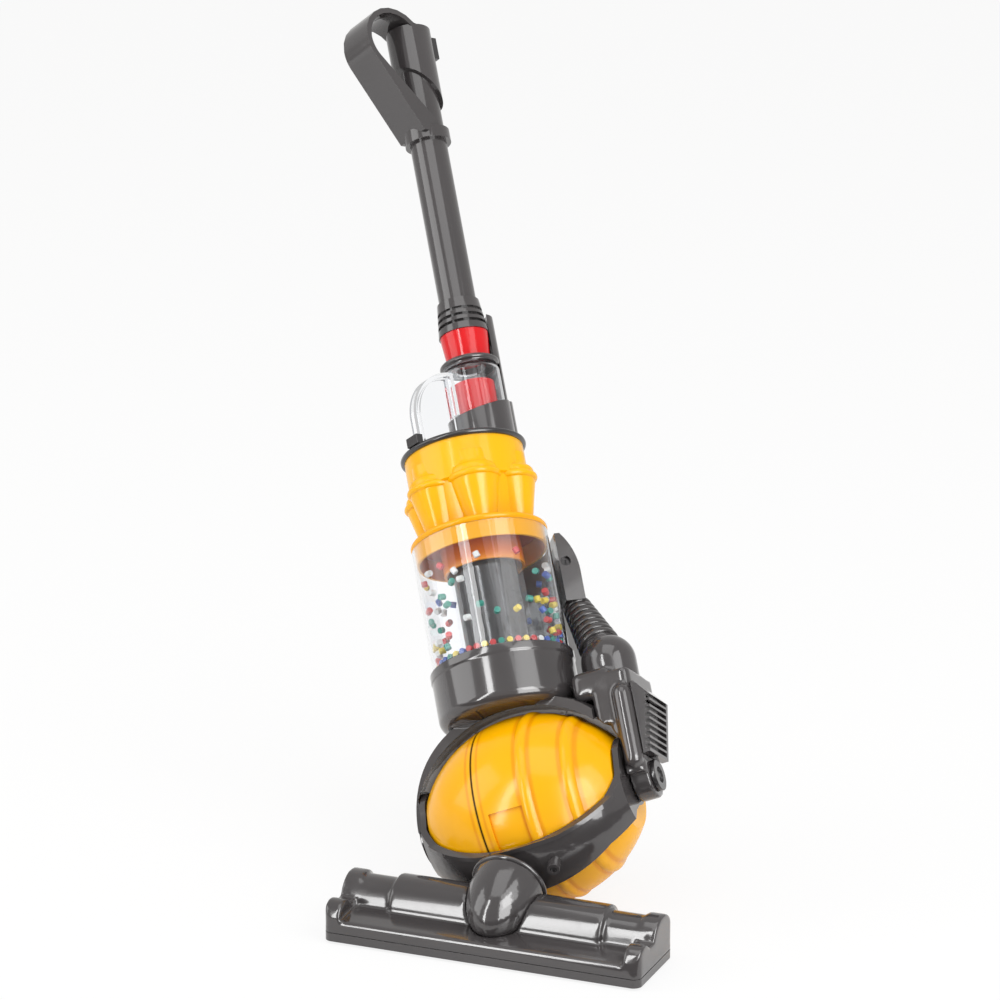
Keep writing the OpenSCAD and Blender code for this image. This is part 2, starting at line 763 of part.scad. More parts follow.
// Ball
module ball_end(side) {
    sleeve = 2 * axle_r + ball_wall;
    inner = barrel_at(ball_half, 0);
    rotate([0, side * 90, 0]) {
        translate([0, 0, ball_half - ball_wall]) cylinder(r = inner, h = ball_wall);
        translate([0, 0, ball_half - 3 * sleeve / 2]) cylinder(r = sleeve, h = 3 * sleeve / 2);
    }
}
module axle_bore() {
    rotate([0, 90, 0]) cylinder(r = axle_r + axle_gap, h = 4 * ball_half, center = true);
}
module band(x) {
    x0 = x - band_w / 2;
    ridge = [for (i = [0 : arc_steps]) let (u = i / arc_steps)
        [barrel_at(x0 + band_w * u, band_h * sin(180 * u)), x0 + band_w * u]];
    rotate([0, 90, 0]) lathe() polygon(concat(ridge, barrel_line(x0 + band_w, x0, -ball_wall / 2)));
}
module ball_left_cap() {
    color(yellow) body_frame() difference() {
        union() {
            barrel_shell(-ball_half, seam_x - seam_w / 2, -ball_wall, 0);
            ball_end(-1);
        }
        axle_bore();
    }
}
module recess_shape() {
    polygon(concat([[0, 0]], [for (a = recess_turns) 2 * ball_r * [-cos(a), -sin(a)]]));
}
module ball_centre() {
    left = seam_x + seam_w / 2;
    right = band_x - band_w / 2;
    tongue = 3 * ball_wall;
    color(yellow) body_frame() difference() {
        union() {
            barrel_shell(left, right, -ball_wall, 0);
            barrel_shell(left - tongue, left + tongue, -2 * ball_wall, -ball_wall);
            barrel_shell(left, right, -ball_wall - recess_depth, -ball_wall);
        }
        intersection() {
            barrel_shell(left + tongue, right - fit, -recess_depth, ball_wall);
            along_x(2 * ball_half) recess_shape();
        }
    }
}
module ball_right() {
    left = band_x - band_w / 2;
    color(yellow) body_frame() difference() {
        union() {
            barrel_shell(left, ball_half, -ball_wall, 0);
            band(band_x);
            band(band_outer_x);
            ball_end(1);
        }
        axle_bore();
    }
}
module ball_axle() {
    color(steel) body_frame() translate([-arm_face, 0, 0]) rotate([0, 90, 0])
        cylinder(r = axle_r, h = arm_face + cap_face);
}
module hub_caps() {
    color(dark) body_frame() for (side = [-1, 1]) rotate([0, side * 90, 0])
        translate([0, 0, side > 0 ? cap_face : arm_face]) difference() {
            cylinder(r = cap_r, h = cap_t);
            translate([0, 0, cap_t / 2]) cylinder(r = cap_r / 2, h = cap_t);
        }
}

// Carriage
function arm_at(u) = (ball_r + saddle_out) * pow(max(0, 1 - pow(abs(u), arm_power)), 1 / arm_power);
module arm_solid() {
    rotate([0, 90, 0]) lathe() polygon(concat(
        [for (i = [-arm_steps : arm_steps]) let (u = sin(90 * i / arm_steps)) [arm_at(u), arm_reach * u]]));
}
module saddle_shape() {
    translate([-arm_half, arm_top]) square([3 * arm_half, 2 * ball_r]);
}
module saddle() {
    run = housing_x0 - fit + arm_reach;
    color(grey) difference() {
        body_frame() difference() {
            intersection() {
                arm_solid();
                translate([run / 2 - arm_reach, 0, 0]) along_x(run) saddle_shape();
            }
            barrel_solid(arm_in);
        }
        base_cup_solid(fit);
    }
}
module arm_shape() {
    circle(arm_hub_r);
    translate([-arm_half, 0]) square([2 * arm_half, arm_top]);
}
module left_arm() {
    color(grey) body_frame() difference() {
        intersection() {
            arm_solid();
            along_x(3 * arm_reach) arm_shape();
            translate([-arm_face, -arm_reach, -arm_reach])
                cube([arm_reach / 2, 2 * arm_reach, 2 * arm_reach]);
        }
        barrel_solid(arm_in);
        rotate([0, 90, 0]) cylinder(r = axle_r, h = 3 * arm_reach, center = true);
    }
}
module housing_outline(x0, y1, inset) {
    w = housing_x1 - x0;
    d = y1 - housing_y0;
    translate([(x0 + housing_x1) / 2, (housing_y0 + y1) / 2])
        round_rect(w - 2 * inset, d - 2 * inset, housing_corner - inset);
}
module boss(inset) {
    r = boss_r - inset;
    translate([boss_x, housing_y0, 0]) lathe()
        polygon(concat(arc(0, boss_s0, r, -90, 0), arc(0, boss_s1, r, 0, 90)));
}
module housing_body(inset) {
    low = inset + housing_step;
    translate([0, 0, housing_s0 + inset]) linear_extrude(housing_s1 - housing_s0 - 2 * inset)
        housing_outline(housing_x0, housing_y1, inset);
    translate([0, 0, inset]) linear_extrude(housing_s0 + housing_corner - inset)
        housing_outline(housing_low_x, lobe_r + cap_t, low);
    translate([housing_low_x + 2 * low, 0, 0]) rotate([0, 90, 0])
        cylinder(r = lobe_r - inset, h = housing_x1 - housing_low_x - 4 * low);
    boss(inset);
}
module right_housing() {
    wall = cup_wall;
    color(grey) body_frame() difference() {
        housing_body(0);
        difference() {
            housing_body(wall);
            rotate([0, 90, 0]) cylinder(r = 2 * axle_r, h = 2 * housing_x1);
        }
        barrel_solid(arm_in);
        rotate([0, 90, 0]) cylinder(r = axle_r, h = 2 * housing_x1);
        translate([elbow_x, elbow_y, housing_s1 - 2 * wall]) cylinder(r = elbow_r - hose_wall, h = 4 * wall);
    }
}
module vent_outline(inset) {
    polygon([
        [housing_x1, vent_s0 + inset], [housing_x1 + vent_out_low - inset, vent_s0 + inset],
        [housing_x1 + vent_out - inset, vent_s1 - vent_out], [housing_x1 + vent_wall, vent_s1 - inset],
        [housing_x1, vent_s1 - inset]]);
}
module vent_block(inset) {
    translate([0, vent_y1 - inset, 0]) rotate([90, 0, 0])
        linear_extrude(vent_y1 - vent_y0 - 2 * inset) vent_outline(inset);
}
module vent_box() {
    rise = vent_s1 - vent_out - vent_s0;
    pitch = rise / vent_slots;
    slope = atan((vent_out - vent_out_low) / rise);
    color(grey) body_frame() difference() {
        vent_block(0);
        translate([-over, 0, 0]) vent_block(vent_wall);
        translate([housing_x1 + vent_out_low, vent_y0 - over, vent_s0]) rotate([0, slope, 0])
            for (i = [0 : vent_slots - 1]) translate([-vent_wall - over, 0, (2 * i + 1) * pitch / 2])
                cube([2 * vent_wall + over, vent_y1 - vent_y0 - vent_wall, vent_slot_w]);
    }
}
module filter_pad() {
    pad = vent_out_low / 3;
    low = vent_wall + fit;
    color("white") body_frame() translate([housing_x1, vent_y0 + low, vent_s0 + low])
        cube([pad, vent_y1 - vent_y0 - 2 * low, vent_s1 - vent_out - vent_s0 - 2 * low]);
}

// Hose
module elbow_solid() {
    nose = elbow_r / 3;
    translate([elbow_x, elbow_y, housing_s1]) cylinder(r = elbow_r, h = elbow_s - housing_s1);
    translate([elbow_x, elbow_y, elbow_s]) {
        sphere(elbow_r);
        rotate([0, hose_lean, hose_heading]) translate([0, 0, nose])
            cylinder(r1 = elbow_r * elbow_nose_share, r2 = hose_r0, h = hose_start - nose);
    }
}
module hose_elbow() {
    color(grey) body_frame() difference() {
        elbow_solid();
        translate([elbow_x, elbow_y, elbow_s - 2 * elbow_r])
            cylinder(r = elbow_r - hose_wall, h = 2 * elbow_r);
        translate([elbow_x, elbow_y, elbow_s]) {
            sphere(elbow_r - hose_wall);
            rotate([0, hose_lean, hose_heading]) cylinder(r = hose_r0 - hose_wall, h = 2 * hose_start);
        }
    }
}
function hose_r(t) = hose_r0 + (hose_r1 - hose_r0) * t;
function hose_edge() = [for (i = [0 : hose_ribs - 1], p = rib_shares)
    let (t = (i + p[0] * rib_fill_share) / hose_ribs)
        [hose_r(t) - hose_groove * (1 - p[1]), hose_start + hose_l * t]];
module ribbed_hose() {
    bore = hose_wall + hose_groove;
    last = hose_start + hose_l * (1 - (1 - rib_fill_share) / hose_ribs);
    color(dark) hose_frame() lathe()
        polygon(concat([[hose_r0 - bore, hose_start]], hose_edge(), [[hose_r1 - bore, last]]));
}
module conn_shape() {
    polygon(concat([[wall_x, conn_s0], [conn_arc_x + conn_arc_r, conn_s0]],
        arc(conn_arc_x, conn_arc_s, conn_arc_r, 0, asin((conn_s1 - conn_arc_s) / conn_arc_r)),
        [[wall_x, conn_s1]]));
}
module conn_block() {
    conn_frame() translate([0, 0, -conn_w / 2]) linear_extrude(conn_w) conn_shape();
}
module hose_connector() {
    end = hose_start + hose_l;
    color(grey) difference() {
        conn_block();
        hose_frame() translate([0, 0, hose_start])
            cylinder(r1 = hose_r0 + fit, r2 = hose_r1 + fit, h = hose_l);
        hose_frame() cylinder(r = hose_r1 - hose_wall - hose_groove, h = end + hose_r1);
        conn_frame() translate([wall_x + screw_in, screw_s, conn_w / 2 - screw_recess])
            cylinder(r = screw_r + fit, h = conn_w);
    }
}
module connector_screw() {
    color(steel) conn_frame() translate([wall_x + screw_in, screw_s, conn_w / 2 - screw_recess])
        difference() {
            cylinder(r = screw_r, h = screw_recess / 2);
            translate([-screw_r / 6, -screw_r / 2, screw_recess / 4])
                cube([screw_r / 3, screw_r, screw_recess]);
        }
}

// Rear box
module box_bay(s0, h, half, y1) {
    y0 = cup_r + cup_rim + box_wall;
    translate([-half, y0, s0]) cube([2 * half, y1 - y0, h]);
}
module box_wing() {
    wing_s0 = conn_s0 + over;
    translate([0, 0, wing_s0]) rotate([0, 0, conn_heading]) rotate_extrude(angle = wing_turn)
        translate([cup_r + cup_rim + neck_fit, 0]) square([2 * box_wall, box_s1 - over - wing_s0]);
}
module rear_box() {
    front = cup_r / 2;
    color(dark) difference() {
        bin_frame() difference() {
            union() {
                translate([-box_half, front, box_s0]) cube([2 * box_half, box_y1 - front, box_s1 - box_s0]);
                box_wing();
            }
            cylinder(r = cup_r + cup_rim + neck_fit, h = 2 * box_s1);
            box_bay(box_s0 - over, drawer_s0 - box_s0 - box_wall + over,
                box_half - box_wall, box_y1 - box_wall);
            box_bay(drawer_s0, drawer_h, box_half - box_wall, box_y1 + over);
            box_bay(cell_bay_s, cell_bay_h, box_half - box_wall, box_y1 + over);
            translate([-box_half + box_wall / 2, box_y1 - box_wall, door_s0])
                cube([2 * box_half - box_wall, 2 * box_wall, door_h]);
            door_screw_places() cylinder(r = screw_r / 2, h = 4 * box_wall, center = true);
        }
        body_frame() arm_solid();
        conn_block();
    }
}
module drawer_block(inset) {
    y0 = cup_r + cup_rim + box_wall + drawer_gap + inset;
    half = box_half - box_wall - drawer_gap - inset;
    translate([-half, y0, drawer_s0 + drawer_gap + inset])
        cube([2 * half, box_y1 - drawer_gap - y0 - inset, drawer_h - 2 * drawer_gap]);
}
module debris_drawer() {
    color(yellow) bin_frame() difference() {
        drawer_block(0);
        drawer_block(box_wall - drawer_gap);
        translate([-arm_half / 2, box_y1 - 2 * box_wall, drawer_s0 + drawer_h / 2])
            cube([arm_half, 3 * box_wall, 3 * box_wall]);
    }
}
module battery_cells() {
    color("silver") bin_frame() for (i = [0 : cells - 1])
        translate([(i - (cells - 1) / 2) * (2 * cell_r + 2 * fit), cup_r + cup_rim + box_wall + cell_r + fit,
            cell_bay_s + over / 2]) {
            cylinder(r = cell_r, h = cell_l - over);
            cylinder(r = cell_r / 3, h = cell_l);
        }
}
module door_screw_places() {
    for (s = [door_s0 + door_h * door_screw_share, door_s0 + door_h * (1 - door_screw_share)])
        translate([0, box_y1 - box_wall, s]) rotate([90, 0, 0]) children();
}
module battery_door() {
    color(dark) bin_frame() difference() {
        translate([-box_half + box_wall / 2 + fit, box_y1 - box_wall, door_s0 + fit])
            cube([2 * box_half - box_wall - 2 * fit, box_wall, door_h - 2 * fit]);
        door_screw_places() cylinder(r = screw_r / 2 + fit, h = 4 * box_wall, center = true);
    }
}
module door_screws() {
    color(steel) bin_frame() door_screw_places() {
        translate([0, 0, -box_wall - box_wall / 3]) cylinder(r = screw_r, h = box_wall / 3);
        translate([0, 0, -box_wall]) cylinder(r = screw_r / 2, h = 2 * box_wall);
    }
}

// Bin
module cup_outer(grow) {
    polygon(concat([[0, cup_s0]],
        arc(cup_r - cup_round, cup_s0 + cup_round, cup_round + grow, -90, 0),
        [[cup_r + grow, cup_rim_s - cup_step_shares[0] * cup_wall],
         [cup_r + cup_rim + grow, cup_rim_s - cup_step_shares[1] * cup_wall],
         [cup_r + cup_rim + grow, cup_rim_s], [0, cup_rim_s]]));
}
module base_cup_solid(grow) { bin_frame() lathe() cup_outer(grow); }
module base_cup() {
    ledge = bin_in - cup_wall;
    step = cup_r - cup_round - cup_wall;
    color(grey) difference() {
        bin_frame() lathe() difference() {
            cup_outer(0);
            translate([0, cup_ledge_s]) square([bin_r + fit, cup_rim_s]);
            polygon(concat([[0, cup_floor_s], [step, cup_floor_s], [step, cup_s0 + cup_wall]],
                arc(cup_r - cup_round, cup_s0 + cup_round, cup_round - cup_wall, -90, 0),
                [[cup_r - cup_wall, cup_ledge_s - 3 * cup_wall], [ledge, cup_ledge_s - cup_wall],
                 [ledge, cup_ledge_s + over], [0, cup_ledge_s + over]]));
        }
        body_frame() barrel_solid(arm_in);
    }
}
module motor() {
    color(steel) bin_frame() translate([0, 0, cup_floor_s]) {
        cylinder(r = motor_r, h = motor_h);
        cylinder(r = motor_r / 8, h = motor_h * 3 / 2);
    }
}
module impeller() {
    hub = motor_r / 2;
    blade = motor_h / 3;
    color("white") bin_frame() translate([0, 0, cup_floor_s + motor_h + over]) difference() {
        union() {
            cylinder(r = hub, h = blade);
            cylinder(r = fan_r, h = blade / 3);
            for (i = [0 : fan_blades - 1]) rotate([0, 0, i * 360 / fan_blades])
                translate([hub / 2, 0, 0]) cube([fan_r - hub, over, blade]);
        }
        cylinder(r = motor_r / 8 + fit, h = 3 * blade, center = true);
    }
}
module bin_floor() {
    color(grey) bin_frame() translate([0, 0, cup_ledge_s]) cylinder(r = bin_in - fit, h = floor_t);
}
module clear_bin() {
    color(clear) bin_frame() translate([0, 0, cup_ledge_s]) difference() {
        cylinder(r = bin_r, h = bin_s1 - cup_ledge_s);
        translate([0, 0, -over]) cylinder(r = bin_in, h = bin_s1);
    }
}
module shroud() {
    h = shroud_s1 - floor_s - shroud_r / 3;
    color(grey) bin_frame() translate([0, 0, floor_s]) lathe() difference() {
        polygon(concat([[0, 0], [shroud_r, 0]],
            arc(shroud_r * 2 / 3, h, shroud_r / 3, 0, 90), [[0, h + shroud_r / 3]]));
        polygon(concat([[0, -over], [shroud_r - cup_wall, -over]],
            arc(shroud_r * 2 / 3, h, shroud_r / 3 - cup_wall, 0, 90), [[0, h + shroud_r / 3 - cup_wall]]));
    }
}
// Beads: a row on the floor along the wall, then a loose scatter up the wall, thickest at two sides
function bead_chance(turn, row) =
    bead_share_low + bead_share_side * pow(sin(turn - bead_side), 4) / (1 + row / 3);
module bead(turn, radius, rise, spin) {
    rotate([0, 0, turn]) translate([radius, 0, floor_s + rise]) rotate([spin, spin / 2, 0])
        cylinder(r = bead_r, h = bead_l, center = true);
}
module bead_set(set) {
    place = bin_in - bead_size - fit;
    bin_frame() {
        for (i = [0 : floor_slots - 1]) if (floor(bead_colours[i]) == set)
            rotate([0, 0, i * 360 / floor_slots]) translate([place, 0, floor_s + bead_r + fit])
                rotate([0, 90, 0]) cylinder(r = bead_r, h = bead_l, center = true);
        for (row = [0 : wall_rows - 1], j = [0 : wall_slots - 1]) {
            i = floor_slots + row * wall_slots + j;
            turn = (j + (row % 2) / 2) * 360 / wall_slots;
            rise = 2 * bead_r + 2 * bead_size * (row + 1) + over * row;
            if (floor(bead_colours[i]) == set && bead_picks[i] < bead_chance(turn, row))
                bead(turn, place, rise, bead_turns[i]);
        }
    }
}
module beads_red() { color(red) bead_set(0); }
module beads_blue() { color("royalblue") bead_set(1); }
module beads_teal() { color("teal") bead_set(2); }
module beads_yellow() { color("gold") bead_set(3); }
module beads_white() { color("white") bead_set(4); }

// Cyclone
module flange_skirt() {
    drop = bin_s1 - flange_drop;
    round = lip_h / 2;
    color(yellow) bin_frame() lathe() difference() {
        union() {
            translate([0, bin_s1]) square([lip_r - round, lip_h]);
            translate([lip_r - round, bin_s1 + round]) circle(round);
            translate([bin_in - fit - cyclone_wall, drop]) square([cyclone_wall, flange_drop + over]);
            translate([skirt_r - cyclone_wall, flange_s - skirt_drop - lip_h])
                square([cyclone_wall, skirt_drop + over]);
        }
        translate([-over, 0]) square([skirt_r - cyclone_wall + over, flange_s - cyclone_wall]);
        translate([skirt_r, 0]) square([bin_in - skirt_r - cyclone_wall - fit, flange_s - cyclone_wall]);
    }
}
module cyclone() {
    shelf = cyclone_h * cyclone_shares[3];
    lathe() {
        polygon(concat([[0, 0], [cyclone_foot_r, 0],
            [(cyclone_foot_r + cyclone_r) / 2, cyclone_h * cyclone_shares[0]],
            [cyclone_r, cyclone_h * cyclone_shares[1]]],
            arc(cyclone_neck_r, shelf, cyclone_r - cyclone_neck_r, 0, bell_turn),
            [[cyclone_neck_r, cyclone_h * cyclone_shares[4]], [cyclone_neck_r, cyclone_h], [0, cyclone_h]]));
        translate([cyclone_r - cyclone_bead / 4, cyclone_h * cyclone_shares[2]]) circle(cyclone_bead);
    }
}
module sector(half, reach) {
    polygon([[0, 0], reach * [cos(half), -sin(half)], [2 * reach, 0], reach * [cos(half), sin(half)]]);
}
module cyclone_pack() {
    notch = flange_s + cyclone_h * cyclone_shares[2];
    skin = 2 * cyclone_wall;
    color(yellow) bin_frame() difference() {
        union() {
            lathe() polygon([[0, flange_s], [core_r, flange_s], [drum_r - cyclone_wall, notch],
                [drum_r, notch + over], [drum_r, lid_s], [0, lid_s]]);
            for (i = [0 : cyclones - 1]) rotate([0, 0, cyclone_start + i * 360 / cyclones]) intersection() {
                translate([cyclone_ring_r, 0, flange_s]) cyclone();
                translate([0, 0, flange_s]) linear_extrude(cyclone_h) sector(180 / cyclones, 2 * drum_r);
            }
        }
        lathe() polygon([[0, flange_s - over], [core_r - skin, flange_s - over], [drum_r - 2 * skin, notch],
            [drum_r - skin, notch + skin], [drum_r - skin, lid_s + over], [0, lid_s + over]]);
    }
}
module lid_ring() {
    round = lid_t / 2;
    color(dark) bin_frame() lathe() {
        translate([core_r / 2, lid_s]) square([lid_r - round - core_r / 2, lid_t]);
        translate([lid_r - round, lid_s + round]) circle(round);
    }
}
module lid_catch() {
    color(dark) top_frame() translate([-catch_w / 2, -lid_r, lid_top]) cube([catch_w, catch_l, catch_h]);
}

// Top stack
module spine_outline(inset) {
    translate([0, spine_back]) circle(spine_r - inset);
}
module slanted_collar() {
    high = can_s1 - lid_top;
    color(grey) stack_frame() difference() {
        translate([0, 0, lid_top]) linear_extrude(high) difference() {
            union() {
                circle(can_r + collar_t);
                translate([0, spine_back]) circle(spine_r + collar_t);
            }
            circle(can_r + fit);
            spine_outline(-fit);
        }
        translate([0, -can_r - collar_t, collar_low_s]) rotate([collar_slant, 0, 0])
            translate([-can_s1, -can_s1, 0]) cube([2 * can_s1, 2 * can_s1, can_s1]);
    }
}
module can_shape(inset) {
    shoulder = can_r / 4;
    polygon(concat([[0, lid_top], [can_r - inset, lid_top]],
        arc(can_r - shoulder, can_s1 - shoulder, shoulder - inset, 0, 90), [[0, can_s1 - inset]]));
}
module clear_canister() {
    color(clear) stack_frame() lathe() difference() {
        can_shape(0);
        can_shape(can_wall);
        square([can_r - can_wall, lid_top + over]);
        translate([0, lid_top]) square([red_r - 3 * can_wall, can_s1]);
    }
}
module canister_ring() {
    color(grey) stack_frame() translate([0, 0, ring_s]) lathe() {
        translate([red_r - 3 * can_wall, 0]) square([ring_r - red_r + 2 * can_wall, ring_h]);
        translate([ring_r - can_wall, ring_h / 2]) circle(can_wall);
    }
}
module red_core() {
    color(red) stack_frame() translate([0, 0, lid_top]) difference() {
        cylinder(r = red_r, h = red_s1 - lid_top);
        translate([0, 0, -over]) cylinder(r = red_r - cyclone_wall, h = red_s1 - lid_top - cyclone_wall);
    }
}
module red_cone() {
    color(red) stack_frame() translate([0, 0, cone_s]) difference() {
        cylinder(r1 = cone_r0, r2 = cone_r1, h = cone_h);
        translate([0, 0, -over]) cylinder(r = cone_r0 - 2 * cyclone_wall, h = cone_h + 2 * over);
    }
}
module grip_shape(inset) {
    top_s = lid_top + grip_h;
    front = -grip_reach + inset;
    r = grip_round_share * grip_reach - inset;
    translate([front, lid_top + inset])
        square([grip_reach - can_r - neck_fit - 2 * inset, grip_foot_share * grip_h]);
    intersection() {
        translate([front + r, top_s - inset - r]) circle(r);
        translate([front, lid_top]) square([grip_reach - can_r - neck_fit - 2 * inset, grip_h]);
    }
    translate([front, lid_top + inset]) square([r, grip_h - r - 2 * inset + grip_edge]);
}
module carry_grip() {
    color(clear) stack_frame() difference() {
        union() {
            along_x(grip_t) difference() {
                grip_shape(0);
                grip_shape(grip_edge);
            }
            along_x(grip_web) grip_shape(grip_edge - fit);
        }
        translate([0, 0, lid_top - over])
            cylinder(r = can_r + collar_t + fit, h = collar_low_s - lid_top + 2 * over);
    }
}
module louvre_collar() {
    slope = (louvre_r - wand_r - wand_wall) / louvre_h;
    pitch = louvre_h * louvre_share;
    color(grey) stack_frame() translate([0, 0, louvre_s]) difference() {
        cylinder(r1 = louvre_r, r2 = louvre_r - slope * louvre_h, h = louvre_h);
        translate([0, 0, louvre_h / 5]) cylinder(r = wand_r + fit, h = louvre_h);
        for (i = [1 : louvre_slots]) translate([0, 0, i * pitch]) difference() {
            cylinder(r = 2 * louvre_r, h = louvre_slot_w);
            cylinder(r = wand_r + wand_wall / 2, h = louvre_slot_w);
            rotate([0, 0, louvre_rib_turn]) translate([0, -louvre_slot_w / 2, 0])
                cube([louvre_r, louvre_slot_w, louvre_slot_w]);
        }
    }
}
module spine() {
    color(grey) stack_frame() difference() {
        translate([0, 0, lid_top]) linear_extrude(louvre_top - spine_drop - lid_top) spine_outline(0);
        cylinder(r = ring_r + neck_fit, h = cone_s + fit);
        cylinder(r = louvre_r + fit, h = 2 * louvre_top);
    }
}

// Wand and handle
module wand_tube() {
    color(grey) stack_frame() translate([0, 0, wand_s0]) difference() {
        cylinder(r = wand_r, h = wand_s1 - wand_s0);
        translate([0, 0, -over]) cylinder(r = wand_r - wand_wall, h = wand_s1);
    }
}
module loop_shape(inset, foot_y, foot_s) {
    r = loop_r - inset;
    run = [foot_y + loop_front, foot_s - loop_s];
    swing = atan2(run[1], run[0]) - acos(r / norm(run));
    polygon(concat([[0, sleeve_s1 - inset]],
        arc(-loop_front, loop_s, r, loop_turn, 180),
        arc(-loop_front, loop_s, r, 180, 360 + swing),
        [[foot_y, foot_s]], foot_y < 0 ? [[0, foot_s]] : []));
}
module handle_sleeve() {
    difference() {
        translate([0, 0, sleeve_cut_s - sleeve_r])
            cylinder(r = sleeve_r, h = sleeve_s1 - sleeve_cut_s + sleeve_r);
        translate([0, 0, sleeve_cut_s]) rotate([-sleeve_slant, 0, 0])
            translate([-2 * sleeve_r, -3 * sleeve_r, -4 * sleeve_r])
                cube([4 * sleeve_r, 6 * sleeve_r, 4 * sleeve_r]);
    }
}
module button_block(grow, sink) {
    depth = sleeve_r - wand_r + button_out;
    translate([-button_w / 2 - grow, wand_r - sink, sleeve_s1 - button_h - button_drop - grow])
        cube([button_w + 2 * grow, depth + sink, button_h + 2 * grow]);
}
module handle() {
    color(grey) stack_frame() difference() {
        union() {
            translate([0, 0, collar_ring_s]) cylinder(r = collar_ring_r, h = collar_ring_h);
            handle_sleeve();
            along_x(loop_w) difference() {
                loop_shape(0, -wand_r, collar_ring_s + collar_ring_h / 2);
                loop_shape(loop_t, loop_foot, collar_ring_s + collar_ring_h);
            }
        }
        translate([0, 0, collar_ring_s - over]) cylinder(r = wand_r, h = wand_s1 - collar_ring_s + over);
        button_block(button_gap, button_travel + button_gap);
    }
}
module handle_button() {
    color(dark) stack_frame() button_block(0, 0);
}

head_cover();
head_sole();
sole_screws();
brush_strip();
front_rollers();
rear_rollers();
swivel_dome();
dome_rim();
yoke_neck();
yoke_cradle();
yoke_peg();
ball_left_cap();
ball_centre();
ball_right();
ball_axle();
hub_caps();
saddle();
left_arm();
right_housing();
vent_box();
filter_pad();
hose_elbow();
ribbed_hose();
hose_connector();
connector_screw();
rear_box();
debris_drawer();
battery_cells();
battery_door();
door_screws();
base_cup();
motor();
impeller();
bin_floor();
clear_bin();
shroud();
beads_red();
beads_blue();
beads_teal();
beads_yellow();
beads_white();
flange_skirt();
cyclone_pack();
lid_ring();
lid_catch();
slanted_collar();
clear_canister();
canister_ring();
red_core();
red_cone();
carry_grip();
louvre_collar();
spine();
wand_tube();
handle();
handle_button();
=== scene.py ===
import json
import math
import bpy
from mathutils import Matrix, Vector

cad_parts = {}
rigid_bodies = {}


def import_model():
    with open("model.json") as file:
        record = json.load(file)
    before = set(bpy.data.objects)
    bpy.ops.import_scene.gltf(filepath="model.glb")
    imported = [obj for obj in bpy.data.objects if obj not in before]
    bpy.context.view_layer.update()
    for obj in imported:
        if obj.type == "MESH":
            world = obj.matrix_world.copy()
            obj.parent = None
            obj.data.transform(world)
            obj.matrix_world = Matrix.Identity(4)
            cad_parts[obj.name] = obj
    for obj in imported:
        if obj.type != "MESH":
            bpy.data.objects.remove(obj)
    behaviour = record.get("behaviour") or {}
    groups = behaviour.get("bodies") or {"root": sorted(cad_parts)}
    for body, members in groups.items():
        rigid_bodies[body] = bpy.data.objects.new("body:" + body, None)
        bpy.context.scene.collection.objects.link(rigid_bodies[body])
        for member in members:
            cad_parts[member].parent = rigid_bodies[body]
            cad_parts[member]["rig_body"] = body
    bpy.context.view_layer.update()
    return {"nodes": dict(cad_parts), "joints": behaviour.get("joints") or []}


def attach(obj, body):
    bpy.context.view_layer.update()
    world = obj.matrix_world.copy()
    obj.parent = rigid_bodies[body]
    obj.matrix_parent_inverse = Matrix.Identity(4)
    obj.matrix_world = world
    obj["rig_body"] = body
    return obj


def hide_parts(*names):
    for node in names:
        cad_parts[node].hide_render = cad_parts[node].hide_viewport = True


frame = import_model()
nodes = frame["nodes"]
joints = {joint["name"]: joint for joint in frame["joints"]}
print("frame loaded:", len(nodes), "nodes")


# small helpers for selecting and for wiring nodes
def onlySelect(piece):
    bpy.ops.object.select_all(action="DESELECT")
    piece.select_set(True)
    bpy.context.view_layer.objects.active = piece


def applied(piece, modifier):
    onlySelect(piece)
    bpy.ops.object.modifier_apply(modifier=modifier.name)


def feed(tree, source, socket):
    # a socket takes a link from another node or a plain value
    if isinstance(source, bpy.types.NodeSocket):
        tree.links.new(source, socket)
    else:
        socket.default_value = source


def mathNode(tree, operation, *sources):
    node = tree.nodes.new("ShaderNodeMath")
    node.operation = operation
    for source, socket in zip(sources, node.inputs):
        feed(tree, source, socket)
    return node.outputs[0]


def vectorNode(tree, operation, *sources, scale=None):
    node = tree.nodes.new("ShaderNodeVectorMath")
    node.operation = operation
    for source, socket in zip(sources, node.inputs):
        feed(tree, source, socket)
    if scale is not None:
        feed(tree, scale, node.inputs["Scale"])
    return node.outputs["Value" if operation in ("DOT_PRODUCT", "LENGTH") else "Vector"]


def spanNode(tree, source, low, high, toLow=0.0, toHigh=1.0, interpolation="LINEAR"):
    span = tree.nodes.new("ShaderNodeMapRange")
    span.interpolation_type = interpolation
    for value, socketName in ((low, "From Min"), (high, "From Max"), (toLow, "To Min"), (toHigh, "To Max")):
        span.inputs[socketName].default_value = value
    tree.links.new(source, span.inputs["Value"])
    return span.outputs[0]


def rampNode(tree, source, stops, interpolation):
    ramp = tree.nodes.new("ShaderNodeValToRGB")
    ramp.color_ramp.interpolation = interpolation
    points = ramp.color_ramp.elements
    while len(points) < len(stops):
        points.new(0.5)
    for point, (at, color) in zip(points, stops):
        point.position = at
        point.color = (*color, 1)
    tree.links.new(source, ramp.inputs["Fac"])
    return ramp.outputs["Color"]


def noiseNode(tree, scale, detail, roughness=0.5):
    place = tree.nodes.new("ShaderNodeTexCoord")
    noise = tree.nodes.new("ShaderNodeTexNoise")
    tree.links.new(place.outputs["Object"], noise.inputs["Vector"])
    for value, socketName in ((scale, "Scale"), (detail, "Detail"), (roughness, "Roughness")):
        feed(tree, value, noise.inputs[socketName])
    return noise.outputs["Fac"]


